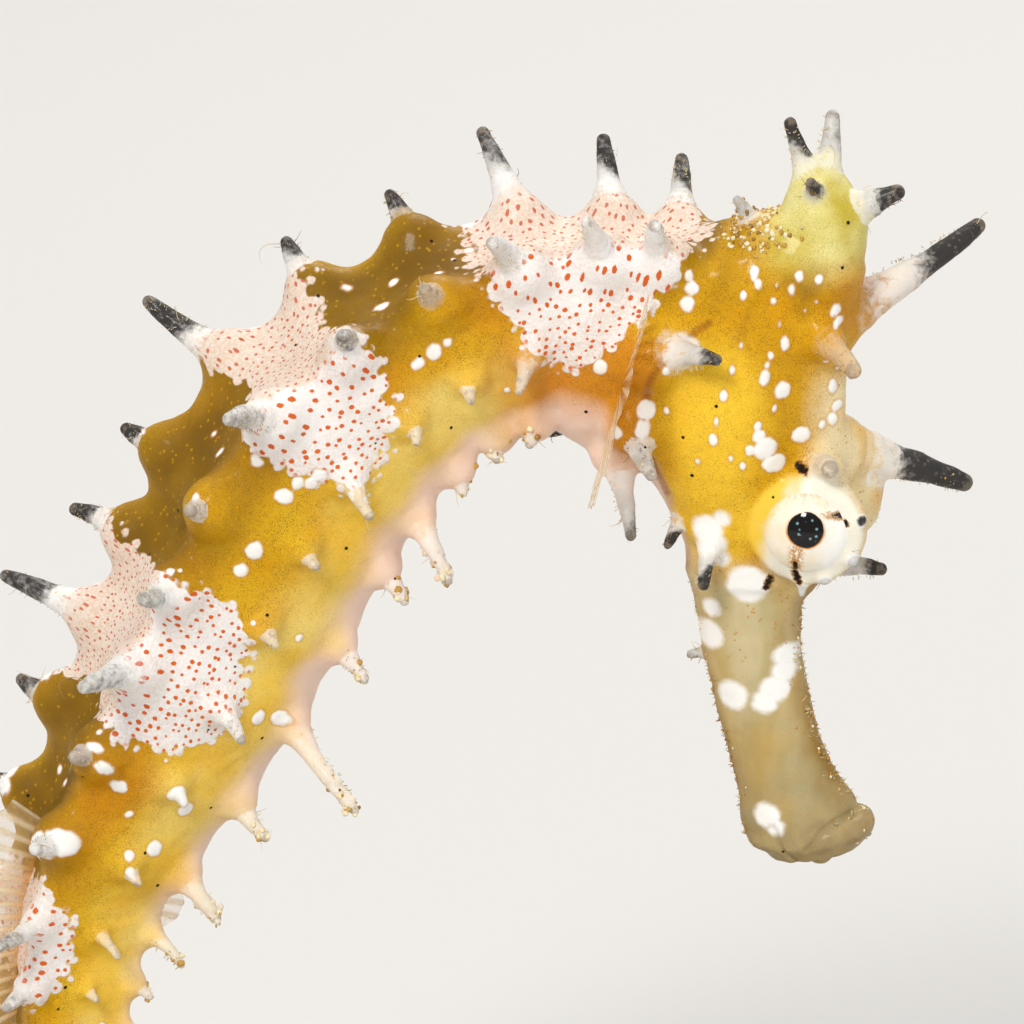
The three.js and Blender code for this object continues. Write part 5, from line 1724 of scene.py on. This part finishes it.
strandLook = {
    "rows": 9, "sides": 6, "radius": (0.016, 0.03), "spineHairs": 5, "hair": (0.35, 1.1),
    "spineFuzz": 60, "short": (0.08, 0.26), "shortRadius": 0.03,
    "longOnes": 16, "long": (2.2, 5.0), "longRadius": 0.028,
    "snoutHairs": 420, "fuzz": (0.1, 0.36), "fuzzRadius": (0.02, 0.05),
    "mostTurn": 1.2,  # a strand that curls more has three times the rows
    "pale": tone(228, 212, 168), "dark": tone(150, 116, 60),
}
strandParts = []


def addStrand(start, way, length, curl, radius):
    look = strandLook
    rows, sides = look["rows"] * (3 if curl > look["mostTurn"] else 1), look["sides"]
    turn = strandChance.normal(size=3) * curl
    bend = strandChance.normal(size=3) * curl
    here, ahead = np.array(start, float), unit(way)
    path = [here]
    for k in range(rows):
        wave = math.cos(k * 5.0 / rows)
        ahead = unit(ahead + np.cross(turn, ahead) * 0.8 / rows + np.cross(bend, ahead) * wave / rows)
        path.append(path[-1] + ahead * length / rows)
    path = np.array(path)
    tangent = unit(np.gradient(path, axis=0))
    side = unit(np.cross(tangent, unit(strandChance.normal(size=3))))
    other = np.cross(tangent, side)
    taper = radius * lerp(1.0, 0.35, np.linspace(0, 1, rows + 1))
    angle = turnsOf(sides)
    rings = [path[k] + taper[k] * (np.outer(np.cos(angle), side[k]) + np.outer(np.sin(angle), other[k]))
             for k in range(rows + 1)]
    strandParts.append(ringMesh(rings))


def strandFinish():
    finish = newFinish("fineStrands")
    place = objectPlace()
    colour = mixed(drift(place, 0.006, 0.7), strandLook["pale"], strandLook["dark"])
    setShader(Base_Color=colour, Roughness=span(noise(place, 0.002), 0.3, 0.7, 0.4, 0.6),
              Normal=bumpFrom(noise(place, 0.0001), 0.3, 0.00001))
    return finish


def strandRoot(spine, axis, share, depth):
    # a place in the side of a spine, and the way out from there
    side = unit(np.cross(axis, strandChance.normal(size=3)))
    radius = np.interp(share, spine["share"], spine["radii"])
    return lerp(spine["path"][1], spine["path"][-1], share) + side * radius * depth, side


def makeStrands():
    look = strandLook
    pick = strandChance
    for s in spines:
        if s["kind"] in ("papilla", "lateral") and pick.uniform() < 0.5:
            continue
        axis = unit(s["path"][-1] - s["path"][1])
        for k in range(pick.integers(1, look["spineHairs"] + 1)):
            start, side = strandRoot(s, axis, pick.uniform(0.35, 0.98), 0.7)
            addStrand(start, side + axis * pick.uniform(0, 1.5), pick.uniform(*look["hair"]), 0.9,
                      pick.uniform(*look["radius"]))
        for k in range(int(look["spineFuzz"] * s["base"] * s["length"] / 6)):
            start, side = strandRoot(s, axis, pick.uniform(0.1, 1.0), 0.9)
            addStrand(start, side + axis * pick.uniform(-0.3, 0.8), pick.uniform(*look["short"]), 0.5,
                      look["shortRadius"])
    backSpines = [s for s in spines if s["kind"] in ("superior", "coronet", "crown", "shoulder")]
    for k in range(look["longOnes"]):
        s = backSpines[pick.integers(len(backSpines))]
        start = lerp(s["path"][1], s["path"][-1], pick.uniform(0.4, 1.0))
        addStrand(start, pick.normal(size=3) + [0, 0, 0.6], pick.uniform(*look["long"]), 2.2, look["longRadius"])
    for k in range(look["snoutHairs"]):
        place, across, (deep, wide) = snoutFrame(pick.uniform(0.03, 0.98))
        angle = pick.normal(0, 0.32) + (math.pi if pick.uniform() < 0.5 else 0)
        out = across * math.cos(angle) + np.array([0, math.sin(angle), 0])
        start = place + across * math.cos(angle) * deep * 0.98 + np.array([0, math.sin(angle) * wide * 0.98, 0])
        addStrand(fromHead(start), (out + pick.normal(0, 0.4, 3)) @ headAxes, pick.uniform(*look["fuzz"]), 0.6,
                  pick.uniform(*look["fuzzRadius"]))
    finishPiece(joinParts("strands", strandParts), strandFinish(), "skin")
    print("strands made,", len(strandParts))


strandChance = np.random.default_rng(23)
makeStrands()


# small grains that stick to the nape, to the tips of the lower spines and to the edges of the snout

crumbLook = {
    "rows": 5, "sides": 8, "uneven": 0.22,
    "nape": 170, "napeAt": (-0.6, -1.0, 9.4), "napeSpread": (0.95, 0.8, 0.8), "napeSize": (0.05, 0.16),
    "onSpines": {"inferior": 16, "shoulder": 5, "crown": 5, "brow": 5, "superior": 3},
    "tipSize": (0.07, 0.22), "smaller": 0.4,  # how much smaller they are on the upper spines
    "snout": 260, "snoutSize": (0.04, 0.11),
    "sand": tone(240, 228, 190), "gold": tone(196, 150, 62), "earth": tone(120, 84, 36),
}


def addCrumb(parts, chance, centre, radius):
    look = crumbLook
    tilt = np.linspace(0, math.pi, look["rows"] + 2)[1:-1]
    turn = turnsOf(look["sides"])
    rings = np.stack([np.outer(np.sin(tilt), np.cos(turn)), np.outer(np.sin(tilt), np.sin(turn)),
                      np.repeat(np.cos(tilt)[:, None], len(turn), 1)], 2)
    points, faces = ringMesh(rings)
    points[-2:] = (0, 0, 1), (0, 0, -1)
    stretch = chance.uniform(0.6, 1.25, 3)
    points = points * (1 + look["uneven"] * chance.uniform(-1, 1, len(points)))[:, None] * stretch * radius + centre
    parts.append((points, outwardFaces(points - centre, faces), chance.uniform()))


def crumbFinish():
    finish = newFinish("stuckGrains")
    look = crumbLook
    place = objectPlace()
    shade = plus(mask("shade"), scaled(noise(place, 0.0001), 0.4, -0.2))
    colour = mixed(span(shade, 0.35, 0.6), look["sand"], look["gold"])
    colour = mixed(span(shade, 0.86, 1.02), colour, look["earth"])
    rough = span(noise(place, 0.0001, 3.0), 0.3, 0.7, 0.25, 0.6)
    setShader(Base_Color=colour, Roughness=rough, Normal=bumpFrom(noise(place, 0.00006, 3.0), 0.5, 0.00002))
    return finish


def onSkin(spot):
    # the nearest point of the skin
    near = np.nonzero((np.abs(skinPoints - spot) < 2.5).all(1))[0]
    if not len(near):
        return spot
    return skinPoints[near[((skinPoints[near] - spot) ** 2).sum(1).argmin()]]


def makeCrumbs():
    look = crumbLook
    pick = np.random.default_rng(31)
    parts = []
    for k in range(look["nape"]):
        spot = np.array(look["napeAt"]) + pick.normal(0, 1, 3) * look["napeSpread"]
        addCrumb(parts, pick, onSkin(fromHead(spot)), pick.uniform(*look["napeSize"]))
    for s in spines:
        isLower = s["kind"] == "inferior"
        for k in range(int(look["onSpines"].get(s["kind"], 0) * min(s["length"] / 4, 1.6))):
            share = 1 - abs(pick.normal(0, 0.16 if isLower else 0.4))
            spot = lerp(s["path"][1], s["path"][-1], share) + pick.normal(0, 0.3, 3)
            size = pick.uniform(*look["tipSize"]) * (1 if isLower else look["smaller"])
            addCrumb(parts, pick, onSkin(spot), size)
    for k in range(look["snout"]):
        place, across, (deep, wide) = snoutFrame(pick.uniform(0.05, 0.97))
        angle = pick.normal(0, 0.3) + (math.pi if pick.uniform() < 0.5 else 0)
        spot = place + across * math.cos(angle) * deep + np.array([0, math.sin(angle) * wide, 0])
        addCrumb(parts, pick, onSkin(fromHead(spot)), pick.uniform(*look["snoutSize"]))
    piece = joinParts("crumbs", parts)
    shades = [np.full(len(points), shade) for points, faces, shade in parts]
    addAttribute(piece, "shade", np.concatenate(shades))
    finishPiece(piece, crumbFinish(), "skin")
    print("crumbs made,", len(parts))


makeCrumbs()


# camera, lights and floor

view = {
    "target": animalPlace / 1000, "elevation": 20, "distance": 0.3, "frameWidth": 0.05595628,
    "sensor": 36, "nearest": 0.01, "furthest": 20, "exposure": -0.22,
}


def setView():
    settings = bpy.context.scene.view_settings
    settings.view_transform = "Standard"
    settings.exposure = view["exposure"]
    settings.gamma = 1.0


def makeCamera():
    rise = math.radians(view["elevation"])
    place = Vector(view["target"]) + view["distance"] * Vector((0, -math.cos(rise), math.sin(rise)))
    data = bpy.data.cameras.new("camera")
    data.sensor_width = view["sensor"]
    data.lens = data.sensor_width * view["distance"] / view["frameWidth"]
    data.clip_start = view["nearest"]
    data.clip_end = view["furthest"]
    camera = bpy.data.objects.new("camera", data)
    camera.location = place
    camera.rotation_euler = (Vector(view["target"]) - place).to_track_quat("-Z", "Y").to_euler()
    bpy.context.scene.collection.objects.link(camera)
    bpy.context.scene.camera = camera


lights = [
    {"name": "key", "place": (-0.18, -0.42, 0.5), "size": 0.15, "power": 2.7, "tone": (1.0, 0.97, 0.92)},
    {"name": "fill", "place": (0.5, -0.35, 0.22), "size": 0.4, "power": 0.6, "tone": (0.93, 0.96, 1.0)},
    {"name": "back", "place": (0.1, 0.45, 0.5), "size": 0.3, "power": 1.9, "tone": (1.0, 0.95, 0.88)},
    {"name": "ceiling", "place": (0, 0, 1), "angle": 1.6, "power": 0.5, "tone": (1.0, 1.0, 1.0)},
]
studio = {
    "airTone": (0.9, 0.91, 0.93, 1), "air": 0.62, "floorSize": 3.0, "floorTone": (0.7, 0.69, 0.67, 1),
    "floorRoughness": 0.9,
}


def makeLights():
    for light in lights:
        data = bpy.data.lights.new(light["name"], "SUN" if "angle" in light else "AREA")
        if "angle" in light:
            data.angle = light["angle"]
        else:
            data.size = light["size"]
        data.energy = light["power"]
        data.color = light["tone"]
        lamp = bpy.data.objects.new(light["name"], data)
        lamp.location = light["place"]
        aim = Vector(view["target"]) - lamp.location
        lamp.rotation_euler = aim.to_track_quat("-Z", "Y").to_euler()
        bpy.context.scene.collection.objects.link(lamp)
    world = bpy.data.worlds.new("studio")
    world.use_nodes = True
    setInputs(world.node_tree.nodes["Background"], {"Color": studio["airTone"], "Strength": studio["air"]})
    bpy.context.scene.world = world


def makeFloor():
    size = studio["floorSize"]
    corners = [(-size, -size, 0), (size, -size, 0), (size, size, 0), (-size, size, 0)]
    floor = newMesh("floor", corners, [[0, 1, 2, 3]], smooth=False)
    floor.data.materials.append(newFinish("floorPaper"))
    setShader(Base_Color=studio["floorTone"], Roughness=studio["floorRoughness"])


setView()
makeCamera()
makeLights()
makeFloor()
